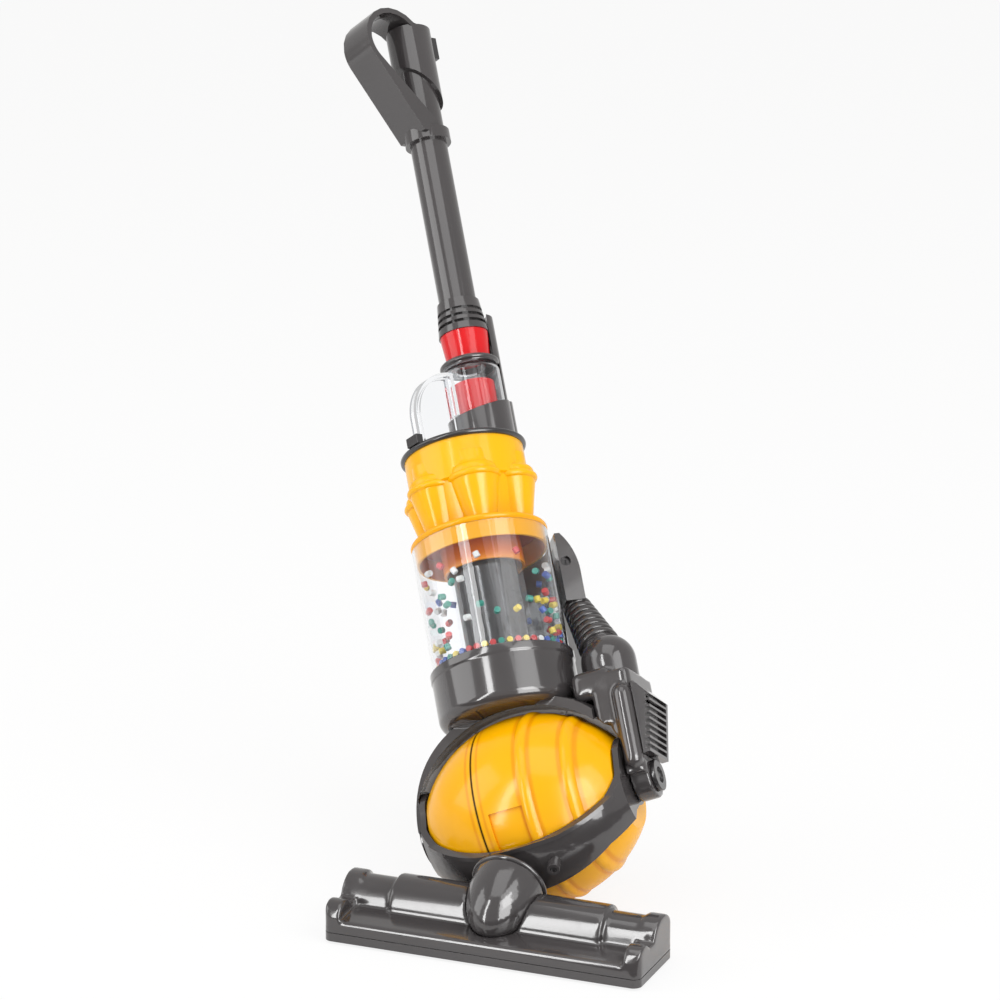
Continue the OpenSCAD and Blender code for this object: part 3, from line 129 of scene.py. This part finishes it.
def mixColors(tree, blend, share, first, second):
    mix = tree.nodes.new("ShaderNodeMix")
    mix.data_type = "RGBA"
    mix.blend_type = blend
    for source, socketName in ((share, "Factor"), (first, "A"), (second, "B")):
        feed(tree, source, mix.inputs[socketName])
    return mix.outputs["Result"]


def mixShaders(tree, share, first, second):
    mix = tree.nodes.new("ShaderNodeMixShader")
    for source, socket in zip((share, first, second), mix.inputs):
        tree.links.new(source, socket)
    return mix.outputs[0]


def straightSight(tree):
    # what the camera sees straight on or through the clear plastic
    path = tree.nodes.new("ShaderNodeLightPath").outputs
    return mathNode(tree, "MAXIMUM", path["Is Camera Ray"], path["Is Transmission Ray"])


def newMaterial(name):
    material = bpy.data.materials.new(name)
    material.use_nodes = True
    return material, material.node_tree, material.node_tree.nodes["Principled BSDF"]


# camera at the photograph's viewing angle
cameraSetup = {
    "target": (-0.0388, 0.100, 0.2806),
    "azimuth": 22.24,      # degrees to the right of the head's front
    "elevation": 16.92,
    "distance": 3.196,
    "lens": 171.36,
    "sensor": 36.0,
    "farClip": 50,
}


def onSphere(center, azimuth, elevation, distance):
    turn, rise = math.radians(azimuth), math.radians(elevation)
    away = Vector((math.sin(turn) * math.cos(rise), -math.cos(turn) * math.cos(rise), math.sin(rise)))
    return Vector(center) + away * distance


def placeFacing(thing, target, azimuth, elevation, distance):
    bpy.context.scene.collection.objects.link(thing)
    thing.location = onSphere(target, azimuth, elevation, distance)
    thing.rotation_euler = (Vector(target) - thing.location).to_track_quat("-Z", "Y").to_euler()


def makeCamera(setup):
    data = bpy.data.cameras.new("photoCamera")
    data.lens = setup["lens"]
    data.sensor_width = setup["sensor"]
    data.clip_end = setup["farClip"]
    camera = bpy.data.objects.new("photoCamera", data)
    placeFacing(camera, setup["target"], setup["azimuth"], setup["elevation"], setup["distance"])
    bpy.context.scene.camera = camera


# soft studio light, with two strips that only gloss shows
lightSetup = {
    "worldColor": (1.0, 0.99, 0.98),
    "worldLevel": 0.62,
    "boxes": [
        # name, azimuth, elevation, distance, width, height, watts, only for gloss
        ("narrowStrip", -20.0, 16, 2.2, 0.34, 2.8, 34, True),
        ("wideStrip", 57.0, 14, 2.2, 1.3, 2.6, 70, True),
        ("leftFill", -62.0, 22, 2.4, 1.4, 1.8, 17, False),
        ("rightKey", 70.0, 38, 2.4, 1.6, 1.6, 24, False),
        ("topBox", 10.0, 78, 2.4, 1.8, 1.8, 16, False),
    ],
}


def makeWorld(setup):
    world = bpy.data.worlds.new("softStudio")
    bpy.context.scene.world = world
    world.use_nodes = True
    tree = world.node_tree
    soft = tree.nodes["Background"]
    soft.inputs["Color"].default_value = (*setup["worldColor"], 1)
    soft.inputs["Strength"].default_value = setup["worldLevel"]
    white = tree.nodes.new("ShaderNodeBackground")
    white.inputs["Color"].default_value = (1, 1, 1, 1)
    white.inputs["Strength"].default_value = 1.0
    surface = mixShaders(tree, straightSight(tree), soft.outputs[0], white.outputs[0])
    tree.links.new(surface, tree.nodes["World Output"].inputs["Surface"])


def makeLamps(setup):
    for name, azimuth, elevation, distance, width, height, watts, glossOnly in setup["boxes"]:
        data = bpy.data.lights.new(name, "AREA")
        data.shape = "RECTANGLE"
        data.size = width
        data.size_y = height
        data.energy = watts
        lamp = bpy.data.objects.new(name, data)
        placeFacing(lamp, cameraSetup["target"], azimuth, elevation, distance)
        lamp.visible_camera = False
        lamp.visible_transmission = False
        lamp.visible_diffuse = not glossOnly


# dark mat before the toy, which only mirrored and refracted rays meet
matSetup = {
    "radius": 2.9,
    "sides": 72,
    "level": -0.0003,
    "startsAt": 0.20,      # metres before the middle of the toy
    "tone": (0.09, 0.09, 0.09),
}


def makeDarkMat(setup):
    middle = Vector(cameraSetup["target"])
    front = onSphere(middle, cameraSetup["azimuth"], 0, 1) - middle
    ground = Vector((middle.x, middle.y, setup["level"]))
    bpy.ops.object.select_all(action="DESELECT")
    bpy.ops.mesh.primitive_circle_add(vertices=setup["sides"], radius=setup["radius"], fill_type="NGON",
                                      location=ground)
    mat = bpy.context.object
    mat.name = "darkMat"
    bpy.ops.object.transform_apply(location=True, rotation=True, scale=True)
    bpy.ops.object.mode_set(mode="EDIT")
    bpy.ops.mesh.select_all(action="SELECT")
    bpy.ops.mesh.bisect(plane_co=ground + front * setup["startsAt"], plane_no=front, clear_inner=True)
    bpy.ops.object.mode_set(mode="OBJECT")
    cloth, _, shader = newMaterial("darkMatCloth")
    shader.inputs["Base Color"].default_value = (*setup["tone"], 1)
    shader.inputs["Roughness"].default_value = 1.0
    mat.data.materials.append(cloth)
    mat.visible_camera = False
    mat.visible_diffuse = False
    mat.visible_shadow = False


# plain pale floor that keeps the toy's shadow
floorSetup = {
    "size": 14,
    "level": -0.0006,
    "color": (0.9, 0.9, 0.9),
    "roughness": 0.85,
    "whiteShare": 0.86,    # how far the floor is lifted to white where it is seen
}


def makeFloor(setup):
    bpy.ops.object.select_all(action="DESELECT")
    bpy.ops.mesh.primitive_plane_add(size=setup["size"], location=(0, 0, setup["level"]))
    floor = bpy.context.object
    floor.name = "paleFloor"
    bpy.ops.object.transform_apply(location=True, rotation=True, scale=True)
    paint, tree, shader = newMaterial("paleFloorPaint")
    shader.inputs["Base Color"].default_value = (*setup["color"], 1)
    shader.inputs["Roughness"].default_value = setup["roughness"]
    glow = tree.nodes.new("ShaderNodeEmission")
    glow.inputs["Strength"].default_value = 1.0
    share = mathNode(tree, "MULTIPLY", straightSight(tree), setup["whiteShare"])
    surface = mixShaders(tree, share, shader.outputs[0], glow.outputs[0])
    tree.links.new(surface, tree.nodes["Material Output"].inputs["Surface"])
    floor.data.materials.append(paint)


makeCamera(cameraSetup)
makeWorld(lightSetup)
makeLamps(lightSetup)
makeDarkMat(matSetup)
makeFloor(floorSetup)
bpy.context.scene.view_settings.view_transform = "Standard"
print("studio set up:", len(lightSetup["boxes"]), "lamps")

# the leaning body's own axes at rest, taken from the joints
bodyFrame = {
    "ball": Vector(joints["ball_roll"]["pos_m"]),
    "across": Vector(joints["ball_roll"]["axis"]),
    "back": Vector(joints["drawer_slide"]["axis"]),
    "along": Vector(joints["fan_spin"]["axis"]),
    "fan": Vector(joints["fan_spin"]["pos_m"]),
}


def bodyPlace(across=0.0, back=0.0, along=0.0):
    axes = Matrix((bodyFrame["across"], bodyFrame["back"], bodyFrame["along"])).transposed().to_4x4()
    return Matrix.Translation(bodyFrame["ball"]) @ axes @ Matrix.Translation((across, back, along))


def newGroup(name, inputs, outputs):
    group = bpy.data.node_groups.new(name, "ShaderNodeTree")
    for way, sockets in (("INPUT", inputs), ("OUTPUT", outputs)):
        for socketName, kind in sockets:
            group.interface.new_socket(socketName, in_out=way, socket_type="NodeSocket" + kind)
    return group, group.nodes.new("NodeGroupInput").outputs, group.nodes.new("NodeGroupOutput").inputs


def placeGroup(tree, group, values):
    node = tree.nodes.new("ShaderNodeGroup")
    node.node_tree = group
    for socketName, value in values.items():
        feed(tree, value, node.inputs[socketName])
    return node.outputs


# grain of moulded plastic: drift of the pigment, orange peel, rubbed patches
grainSetup = {
    "drift": {"scale": 14, "detail": 3, "span": (0.3, 0.7)},
    "peelDetail": 2,
    "rub": {"scale": 55, "detail": 6, "roughness": 0.7, "span": (0.52, 0.75)},
}


def mouldGrain(setup):
    inputs = [("Color", "Color"), ("Mottle", "Float"), ("Grain Size", "Float"), ("Gloss", "Float"),
              ("Scuff", "Float")]
    outputs = [("Color", "Color"), ("Roughness", "Float"), ("Height", "Float")]
    group, start, end = newGroup("mouldGrain", inputs, outputs)
    drift, rub = setup["drift"], setup["rub"]
    pigment = noiseNode(group, drift["scale"], drift["detail"])
    shift = spanNode(group, pigment, *drift["span"], toLow=-1, toHigh=1)
    amount = mathNode(group, "MULTIPLY_ADD", shift, start["Mottle"], 1.0)
    tint = vectorNode(group, "SCALE", start["Color"], scale=amount)
    patch = spanNode(group, noiseNode(group, rub["scale"], rub["detail"], rub["roughness"]), *rub["span"])
    dull = mathNode(group, "MULTIPLY_ADD", patch, start["Scuff"], start["Gloss"])
    peel = noiseNode(group, start["Grain Size"], setup["peelDetail"])
    for source, socketName in ((tint, "Color"), (dull, "Roughness"), (peel, "Height")):
        group.links.new(source, end[socketName])
    return group


# painted shade: ambient occlusion darkens inner corners and creases towards a shade colour
cornerShadeSetup = {"reach": 0.0025, "samples": 4, "span": (0.25, 0.8)}


def cornerShade(setup):
    inputs = [("Color", "Color"), ("Crease Shade", "Color")]
    group, start, end = newGroup("cornerShade", inputs, [("Color", "Color")])
    # painted shade in corners and creases, found by ambient occlusion
    corner = group.nodes.new("ShaderNodeAmbientOcclusion")
    corner.samples = setup["samples"]
    corner.only_local = True
    corner.inputs["Distance"].default_value = setup["reach"]
    openness = spanNode(group, corner.outputs["AO"], *setup["span"], interpolation="SMOOTHSTEP")
    tone = mixColors(group, "MIX", openness, start["Crease Shade"], (1, 1, 1, 1))
    group.links.new(mixColors(group, "MULTIPLY", 1.0, start["Color"], tone), end["Color"])
    return group


def axisPlace():
    # height along an axis and distance from it
    inputs = [("Start", "Vector"), ("Axis", "Vector")]
    group, start, end = newGroup("axisPlace", inputs, [("Height", "Float"), ("Radius", "Float")])
    place = group.nodes.new("ShaderNodeTexCoord").outputs["Object"]
    away = vectorNode(group, "SUBTRACT", place, start["Start"])
    height = vectorNode(group, "DOT_PRODUCT", away, start["Axis"])
    rise = vectorNode(group, "SCALE", start["Axis"], scale=height)
    group.links.new(height, end["Height"])
    group.links.new(vectorNode(group, "LENGTH", vectorNode(group, "SUBTRACT", away, rise)), end["Radius"])
    return group


grainGroup = mouldGrain(grainSetup)
cornerShadeGroup = cornerShade(cornerShadeSetup)
axisGroup = axisPlace()

# plastics: what a finish leaves out comes from the first dictionary
plasticBase = {
    "gloss": 0.34, "mottle": 0.08, "grain": 1500, "scuff": 0.10, "bump": 0.06, "bumpDepth": 0.0004,
    "coat": 0.10, "coatRoughness": 0.03, "ior": 1.52, "specular": 0.5, "metallic": 0.0,
    # painted shade colour that inner corners and creases are darkened towards
    "creaseShade": (0.4, 0.4, 0.4),
}
plasticFinishes = {
    "warmGrey": {"color": (0.052, 0.047, 0.048), "gloss": 0.14, "mottle": 0.10, "grain": 700, "bump": 0.03,
                 "coat": 0.6},
    "nightGrey": {"color": (0.030, 0.028, 0.029), "gloss": 0.20, "mottle": 0.10, "grain": 800, "scuff": 0.12,
                  "bump": 0.04, "coat": 0.3},
    "blackSteel": {"color": (0.030, 0.028, 0.029), "gloss": 0.20, "mottle": 0.10, "grain": 800, "scuff": 0.12,
                   "bump": 0.04, "coat": 0.3, "metallic": 0.6},
    "sunYellow": {"color": (1.0, 0.500, 0.0), "gloss": 0.20, "mottle": 0.03, "grain": 600, "scuff": 0.06,
                  "bump": 0.02, "coat": 0.12, "specular": 0.25, "creaseShade": (0.72, 0.42, 0.2)},
    "signalRed": {"color": (0.72, 0.006, 0.010), "gloss": 0.12, "mottle": 0.04, "grain": 600, "scuff": 0.06,
                  "bump": 0.02, "coat": 0.2, "specular": 0.3},
    "hoseGrey": {"color": (0.045, 0.041, 0.041), "gloss": 0.17, "mottle": 0.10, "grain": 900, "scuff": 0.12,
                 "bump": 0.05, "coat": 0.4},
    "fanWhite": {"color": (0.80, 0.80, 0.79), "gloss": 0.30, "mottle": 0.03, "grain": 900, "scuff": 0.08,
                 "bump": 0.03},
    "beadRed": {"color": (0.62, 0.015, 0.02)},
    "beadBlue": {"color": (0.035, 0.11, 0.48)},
    "beadTeal": {"color": (0.005, 0.27, 0.20)},
    "beadYellow": {"color": (0.80, 0.60, 0.03)},
    "beadWhite": {"color": (0.82, 0.82, 0.80), "mottle": 0.05},
}


def mouldedPlastic(name, finish, paint=None):
    finish = {**plasticBase, **finish}
    material, tree, shader = newMaterial(name)
    color = paint(tree) if paint else (*finish["color"], 1)
    grain = placeGroup(tree, grainGroup, {
        "Color": color, "Mottle": finish["mottle"], "Grain Size": finish["grain"],
        "Gloss": finish["gloss"], "Scuff": finish["scuff"]})
    shaded = placeGroup(tree, cornerShadeGroup, {"Color": grain["Color"], "Crease Shade": (*finish["creaseShade"], 1)})
    bump = tree.nodes.new("ShaderNodeBump")
    bump.inputs["Strength"].default_value = finish["bump"]
    bump.inputs["Distance"].default_value = finish["bumpDepth"]
    tree.links.new(grain["Height"], bump.inputs["Height"])
    sources = {
        "Base Color": shaded["Color"], "Roughness": grain["Roughness"], "Normal": bump.outputs["Normal"],
        "Metallic": finish["metallic"], "IOR": finish["ior"], "Specular IOR Level": finish["specular"],
        "Coat Weight": finish["coat"], "Coat Roughness": finish["coatRoughness"],
    }
    for socketName, source in sources.items():
        feed(tree, source, shader.inputs[socketName])
    return material


# the ball: dark joint at the open seam, and painted shade at the feet beside the raised bands
ballFinish = {
    "reach": 70.0,         # millimetres of axle to each side of the middle
    "yellow": (1.0, 0.47, 0.0),
    "seam": (0.05, 0.022, 0.0),
    # painted shade beside the raised bands
    "foot": (0.88, 0.34, 0.0),
    "fullTone": 1 / 3,     # share of a line's half width that has its full tone
    # millimetres along the axle, half width, tone
    "lines": [(-25.5, 1.5, "foot"), (-21.0, 1.2, "seam"), (-16.5, 1.3, "foot"), (11.0, 2.0, "foot"),
              (20.6, 2.2, "foot"), (39.8, 2.0, "foot"), (49.4, 2.2, "foot")],
}


def ballPaint(tree):
    finish = ballFinish
    axle = placeGroup(tree, axisGroup, {"Start": bodyFrame["ball"], "Axis": bodyFrame["across"]})
    reach = finish["reach"] / 1000
    span = spanNode(tree, axle["Height"], -reach, reach)
    stops = [(0.0, finish["yellow"])]
    for middle, half, tone in finish["lines"]:
        full = half * finish["fullTone"]
        for step, color in ((-half, "yellow"), (-full, tone), (full, tone), (half, "yellow")):
            stops.append(((middle + step) / finish["reach"] / 2 + 0.5, finish[color]))
    return rampNode(tree, span, stops, "LINEAR")


# the skirt: painted shade and painted orange bounce light fill the hollow under the flange, deepening further
# up; the skirt's lower end and its lip are yellow
skirtFinish = {
    "wallRadius": (0.0436, 0.0442),
    "height": (0.172, 0.200),
    # painted shade and bounce light: orange darkening to red up the hollow
    "hollowShade": [(0.0, (1.0, 0.36, 0.0)), (0.35, (0.80, 0.17, 0.0)), (0.9, (0.50, 0.060, 0.002))],
    "lip": (1.0, 0.44, 0.0),
}


def skirtPaint(tree):
    finish = skirtFinish
    along = bodyFrame["along"]
    binFoot = bodyFrame["fan"] - along * (bodyFrame["fan"] - bodyFrame["ball"]).dot(along)
    axis = placeGroup(tree, axisGroup, {"Start": binFoot, "Axis": along})
    hollowShade = rampNode(tree, spanNode(tree, axis["Height"], *finish["height"]), finish["hollowShade"], "EASE")
    wall = spanNode(tree, axis["Radius"], *finish["wallRadius"])
    return mixColors(tree, "MIX", wall, hollowShade, (*finish["lip"], 1))


clearFinish = {
    "ior": 1.42,
    "haze": {"scale": 60, "detail": 4},      # faint flow marks of the moulding
    "roughness": (0.0, 0.035),
    "cast": [(0.0, (0.95, 0.965, 0.985)), (1.0, (0.985, 0.99, 1.0))],
    "through": (0.95, 0.96, 0.97),
}


def clearPlastic(finish):
    material, tree, shader = newMaterial("clearPlastic")
    haze = noiseNode(tree, finish["haze"]["scale"], finish["haze"]["detail"])
    shader.inputs["Transmission Weight"].default_value = 1.0
    shader.inputs["IOR"].default_value = finish["ior"]
    tree.links.new(spanNode(tree, haze, 0, 1, *finish["roughness"]), shader.inputs["Roughness"])
    tree.links.new(rampNode(tree, haze, finish["cast"], "LINEAR"), shader.inputs["Base Color"])
    through = tree.nodes.new("ShaderNodeBsdfTransparent")
    through.inputs["Color"].default_value = (*finish["through"], 1)
    path = tree.nodes.new("ShaderNodeLightPath").outputs      # light reaches what is inside
    lit = mathNode(tree, "MAXIMUM", path["Is Shadow Ray"], path["Is Diffuse Ray"])
    mirrored = mathNode(tree, "SUBTRACT", path["Is Glossy Ray"], path["Is Transmission Ray"])
    passing = mathNode(tree, "MAXIMUM", lit, mirrored)
    surface = mixShaders(tree, passing, shader.outputs[0], through.outputs[0])
    tree.links.new(surface, tree.nodes["Material Output"].inputs["Surface"])
    return material


steelFinish = {
    "Color": (0.56, 0.56, 0.58, 1), "Mottle": 0.12, "Grain Size": 2500, "Gloss": 0.28, "Scuff": 0.2,
}


def brushedSteel(finish):
    material, tree, shader = newMaterial("brushedSteel")
    shader.inputs["Metallic"].default_value = 1.0
    grain = placeGroup(tree, grainGroup, finish)
    tree.links.new(grain["Color"], shader.inputs["Base Color"])
    tree.links.new(grain["Roughness"], shader.inputs["Roughness"])
    return material


finishes = {name: mouldedPlastic(name, finish) for name, finish in plasticFinishes.items()}
finishes["ballYellow"] = mouldedPlastic("ballYellow", plasticFinishes["sunYellow"], ballPaint)
finishes["skirtShadeOrange"] = mouldedPlastic("skirtShadeOrange", plasticFinishes["sunYellow"], skirtPaint)
finishes["clearPlastic"] = clearPlastic(clearFinish)
finishes["brushedSteel"] = brushedSteel(steelFinish)
finishes["cellCase"] = finishes["brushedSteel"]
print("finishes made:", len(finishes))


def finishPiece(piece, finish, body, stands):
    piece.data.materials.clear()
    piece.data.materials.append(finishes[finish])
    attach(piece, body)
    for node in stands:
        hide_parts(node)
    return piece


# each listed node as a merged copy with softened edges
mouldSetup = {
    "mergeGap": 2e-6,
    "flatAngle": 0.4,      # degrees, below which faces are one flat face
    "sharpAngle": 28,
    "smoothAngle": 38,
    "segments": 2,
    # finish: slot of the record, then each node with its edge width in mm, or with a soft skin
    "pieces": {
        "warmGrey": ("grey_plastic", {
            # one soft moulding, held still below the seam
            "head_cover": {"skin": 0.0009, "ease": 0.5, "rounds": 14, "hold": 0.0105, "thin": 0.4},
            "head_sole": 0.8, "swivel_dome": 0.6, "dome_rim": 0.6, "yoke_neck": 0.5,
            "yoke_cradle": 0.8, "yoke_peg": 0.4, "saddle": 0.8, "left_arm": 0.8, "vent_box": 0.5,
            "hose_connector": 0.8, "base_cup": 0.6, "bin_floor": 0.4, "slanted_collar": 0.5,
            "canister_ring": 0.5, "louvre_collar": 0.3, "spine": 0.6, "wand_tube": 0.5, "handle": 0.7}),
        "nightGrey": ("dark_plastic", {
            "brush_strip": 0.2, "front_rollers": 0.4, "rear_rollers": 0.4, "hub_caps": 0.6, "rear_box": 1.0,
            "battery_door": 0.5, "lid_ring": 0.4, "lid_catch": 0.4, "handle_button": 0.4, "shroud": 0.3}),
        "ballYellow": ("yellow_plastic", {"ball_left_cap": 0.3, "ball_centre": 0.3, "ball_right": 0.3}),
        "skirtShadeOrange": ("yellow_plastic", {"flange_skirt": 0.4}),
        "sunYellow": ("yellow_plastic", {"debris_drawer": 0.5, "cyclone_pack": 0.3}),
        "signalRed": ("red_plastic", {"red_core": 0.3, "red_cone": 0.4}),
        "clearPlastic": ("clear_plastic", {"clear_bin": 0.3, "clear_canister": 0.2, "carry_grip": 0.5}),
        "brushedSteel": ("steel", {"sole_screws": 0.15, "ball_axle": 0.3, "door_screws": 0.15, "motor": 0.4}),
        "blackSteel": ("steel", {"connector_screw": 0.15}),
        "cellCase": ("cell_case", {"battery_cells": 0.3}),
        "fanWhite": ("white_plastic", {"filter_pad": 0.3, "impeller": 0.2}),
        "beadRed": ("bead_red", {"beads_red": 0.35}),
        "beadBlue": ("bead_blue", {"beads_blue": 0.35}),
        "beadTeal": ("bead_teal", {"beads_teal": 0.35}),
        "beadYellow": ("bead_yellow", {"beads_yellow": 0.35}),
        "beadWhite": ("bead_white", {"beads_white": 0.35}),
    },
}


def softSkin(piece, soft):
    # a fine skin over the whole piece, smoothed and thinned
    skin = piece.modifiers.new("skin", "REMESH")
    skin.mode = "VOXEL"
    skin.voxel_size = soft["skin"]
    applied(piece, skin)
    free = piece.vertex_groups.new(name="free")
    above = [vertex.index for vertex in piece.data.vertices if vertex.co.z > soft["hold"]]
    free.add(above, 1.0, "REPLACE")
    rounds = piece.modifiers.new("rounds", "SMOOTH")
    rounds.factor = soft["ease"]
    rounds.iterations = soft["rounds"]
    rounds.vertex_group = free.name
    applied(piece, rounds)
    thin = piece.modifiers.new("thin", "DECIMATE")
    thin.ratio = soft["thin"]
    applied(piece, thin)
    piece.vertex_groups.clear()
    onlySelect(piece)
    bpy.ops.object.shade_smooth()


def softEdges(piece, setup, width):
    soft = piece.modifiers.new("softEdges", "BEVEL")
    soft.width = width / 1000
    soft.segments = setup["segments"]
    soft.limit_method = "ANGLE"
    soft.angle_limit = math.radians(setup["sharpAngle"])
    soft.use_clamp_overlap = True
    soft.miter_outer = "MITER_ARC"
    applied(piece, soft)
    onlySelect(piece)
    bpy.ops.object.shade_smooth_by_angle(angle=math.radians(setup["smoothAngle"]))
    level = piece.modifiers.new("levelFaces", "WEIGHTED_NORMAL")
    level.mode = "FACE_AREA_WITH_ANGLE"
    level.keep_sharp = True
    applied(piece, level)


def mergeAll():
    bpy.ops.object.mode_set(mode="EDIT")
    bpy.ops.mesh.select_all(action="SELECT")
    bpy.ops.mesh.remove_doubles(threshold=mouldSetup["mergeGap"])


def mouldedCopy(setup, node, edge):
    piece = bpy.data.objects.new(node + "_moulded", nodes[node].data.copy())
    bpy.context.scene.collection.objects.link(piece)
    onlySelect(piece)
    if piece.data.has_custom_normals:
        bpy.ops.mesh.customdata_custom_splitnormals_clear()
    mergeAll()
    if isinstance(edge, dict):
        bpy.ops.object.mode_set(mode="OBJECT")
        softSkin(piece, edge)
    else:
        bpy.ops.mesh.dissolve_limited(angle_limit=math.radians(setup["flatAngle"]))
        bpy.ops.object.mode_set(mode="OBJECT")
        softEdges(piece, setup, edge)
    return piece


def makeMouldedCopies(setup):
    copies = []
    for finish, (slot, members) in setup["pieces"].items():
        for node, edge in members.items():
            piece = mouldedCopy(setup, node, edge)
            copies.append(finishPiece(piece, finish, nodes[node]["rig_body"], [node]))
    faces = sum(len(piece.data.polygons) for piece in copies)
    print("moulded copies:", len(copies), "with", faces, "faces")


makeMouldedCopies(mouldSetup)

# the hose, with broad ribs and narrow grooves
hoseSetup = {
    "elbow": (0.0675, 0.0095, 0.090),        # on the body's axes
    "lean": 30.5,
    "heading": 136.0,
    "start": 0.0165,
    "end": 0.0612,
    "lead": 0.002,
    "tail": 0.005,
    "radius": (0.0149, 0.0099),
    "tailRadius": 0.0080,
    "ribs": 8,
    "sides": 72,
    "groove": 0.0017,
    "smoothAngle": 50,
    # share of a rib's pitch, share of the groove's depth
    "rib": [(0.0, 1.0), (0.07, 1.0), (0.12, 0.35), (0.2, 0.08), (0.36, -0.06), (0.56, -0.10), (0.76, -0.06),
            (0.9, 0.08), (0.96, 0.35), (0.995, 1.0)],
}


def hoseLine(setup):
    # radius and height of each ring, from the elbow up
    wide, narrow = setup["radius"]
    length = setup["end"] - setup["start"]
    line = [(wide - setup["groove"], setup["start"] - setup["lead"])]
    for rib in range(setup["ribs"]):
        for share, depth in setup["rib"]:
            way = (rib + share) / setup["ribs"]
            radius = wide + (narrow - wide) * way - setup["groove"] * depth
            line.append((radius, setup["start"] + length * way))
    line.append((setup["tailRadius"], setup["end"]))
    line.append((setup["tailRadius"], setup["end"] + setup["tail"]))
    return line


def makeHose(setup):
    line = hoseLine(setup)
    bpy.ops.object.select_all(action="DESELECT")
    bpy.ops.mesh.primitive_circle_add(vertices=setup["sides"], radius=line[0][0], fill_type="NGON",
                                      location=(0, 0, line[0][1]))
    piece = bpy.context.object
    piece.name = "broadRibHose"
    bpy.ops.object.transform_apply(location=True, rotation=True, scale=True)
    bpy.ops.object.mode_set(mode="EDIT")
    bpy.ops.mesh.select_all(action="SELECT")
    for (radius, height), (nextRadius, nextHeight) in zip(line, line[1:]):
        widen = nextRadius / radius
        bpy.ops.mesh.extrude_region_move(TRANSFORM_OT_translate={"value": (0, 0, nextHeight - height)})
        bpy.ops.transform.resize(value=(widen, widen, 1), center_override=(0, 0, nextHeight))
    bpy.ops.mesh.select_all(action="SELECT")
    bpy.ops.mesh.normals_make_consistent(inside=False)
    bpy.ops.object.mode_set(mode="OBJECT")
    heading = Matrix.Rotation(math.radians(setup["heading"]), 4, "Z")
    lean = Matrix.Rotation(math.radians(setup["lean"]), 4, "Y")
    piece.data.transform(bodyPlace(*setup["elbow"]) @ heading @ lean)
    onlySelect(piece)
    bpy.ops.object.shade_smooth_by_angle(angle=math.radians(setup["smoothAngle"]))
    print("hose made:", len(line), "rings")
    finishPiece(piece, "hoseGrey", "main_body", ["ribbed_hose"])


makeHose(hoseSetup)

# one smooth moulding from the hose's elbow down the right housing, with a shoulder towards the cup
fairingSetup = {
    "nodes": ["right_housing", "hose_elbow"],
    "low": (0.0470, -0.022, 0.059),          # corners of the shoulder on the body's axes
    "high": (0.076, 0.020, 0.0795),
    "edge": 0.006,
    "segments": 4,
    "soft": {"skin": 0.0009, "ease": 0.5, "rounds": 16, "hold": -1.0, "thin": 0.35},
}


def makeFairing(setup):
    low, high = Vector(setup["low"]), Vector(setup["high"])
    bpy.ops.object.select_all(action="DESELECT")
    bpy.ops.mesh.primitive_cube_add(size=1, location=(low + high) / 2, scale=high - low)
    piece = bpy.context.object
    piece.name = "sideFairing"
    bpy.ops.object.transform_apply(location=True, rotation=True, scale=True)
    bpy.ops.object.mode_set(mode="EDIT")
    bpy.ops.mesh.select_all(action="SELECT")
    bpy.ops.mesh.bevel(offset=setup["edge"], segments=setup["segments"], affect="EDGES")
    bpy.ops.object.mode_set(mode="OBJECT")
    piece.data.transform(bodyPlace())
    parts = [piece]
    for node in setup["nodes"]:
        copy = bpy.data.objects.new(node + "_copy", nodes[node].data.copy())
        bpy.context.scene.collection.objects.link(copy)
        parts.append(copy)
    bpy.ops.object.select_all(action="DESELECT")
    for part in parts:
        part.select_set(True)
    bpy.context.view_layer.objects.active = piece
    bpy.ops.object.join()
    mergeAll()
    bpy.ops.object.mode_set(mode="OBJECT")
    softSkin(piece, setup["soft"])
    print("fairing made:", len(piece.data.polygons), "faces")
    finishPiece(piece, "warmGrey", "main_body", setup["nodes"])


makeFairing(fairingSetup)
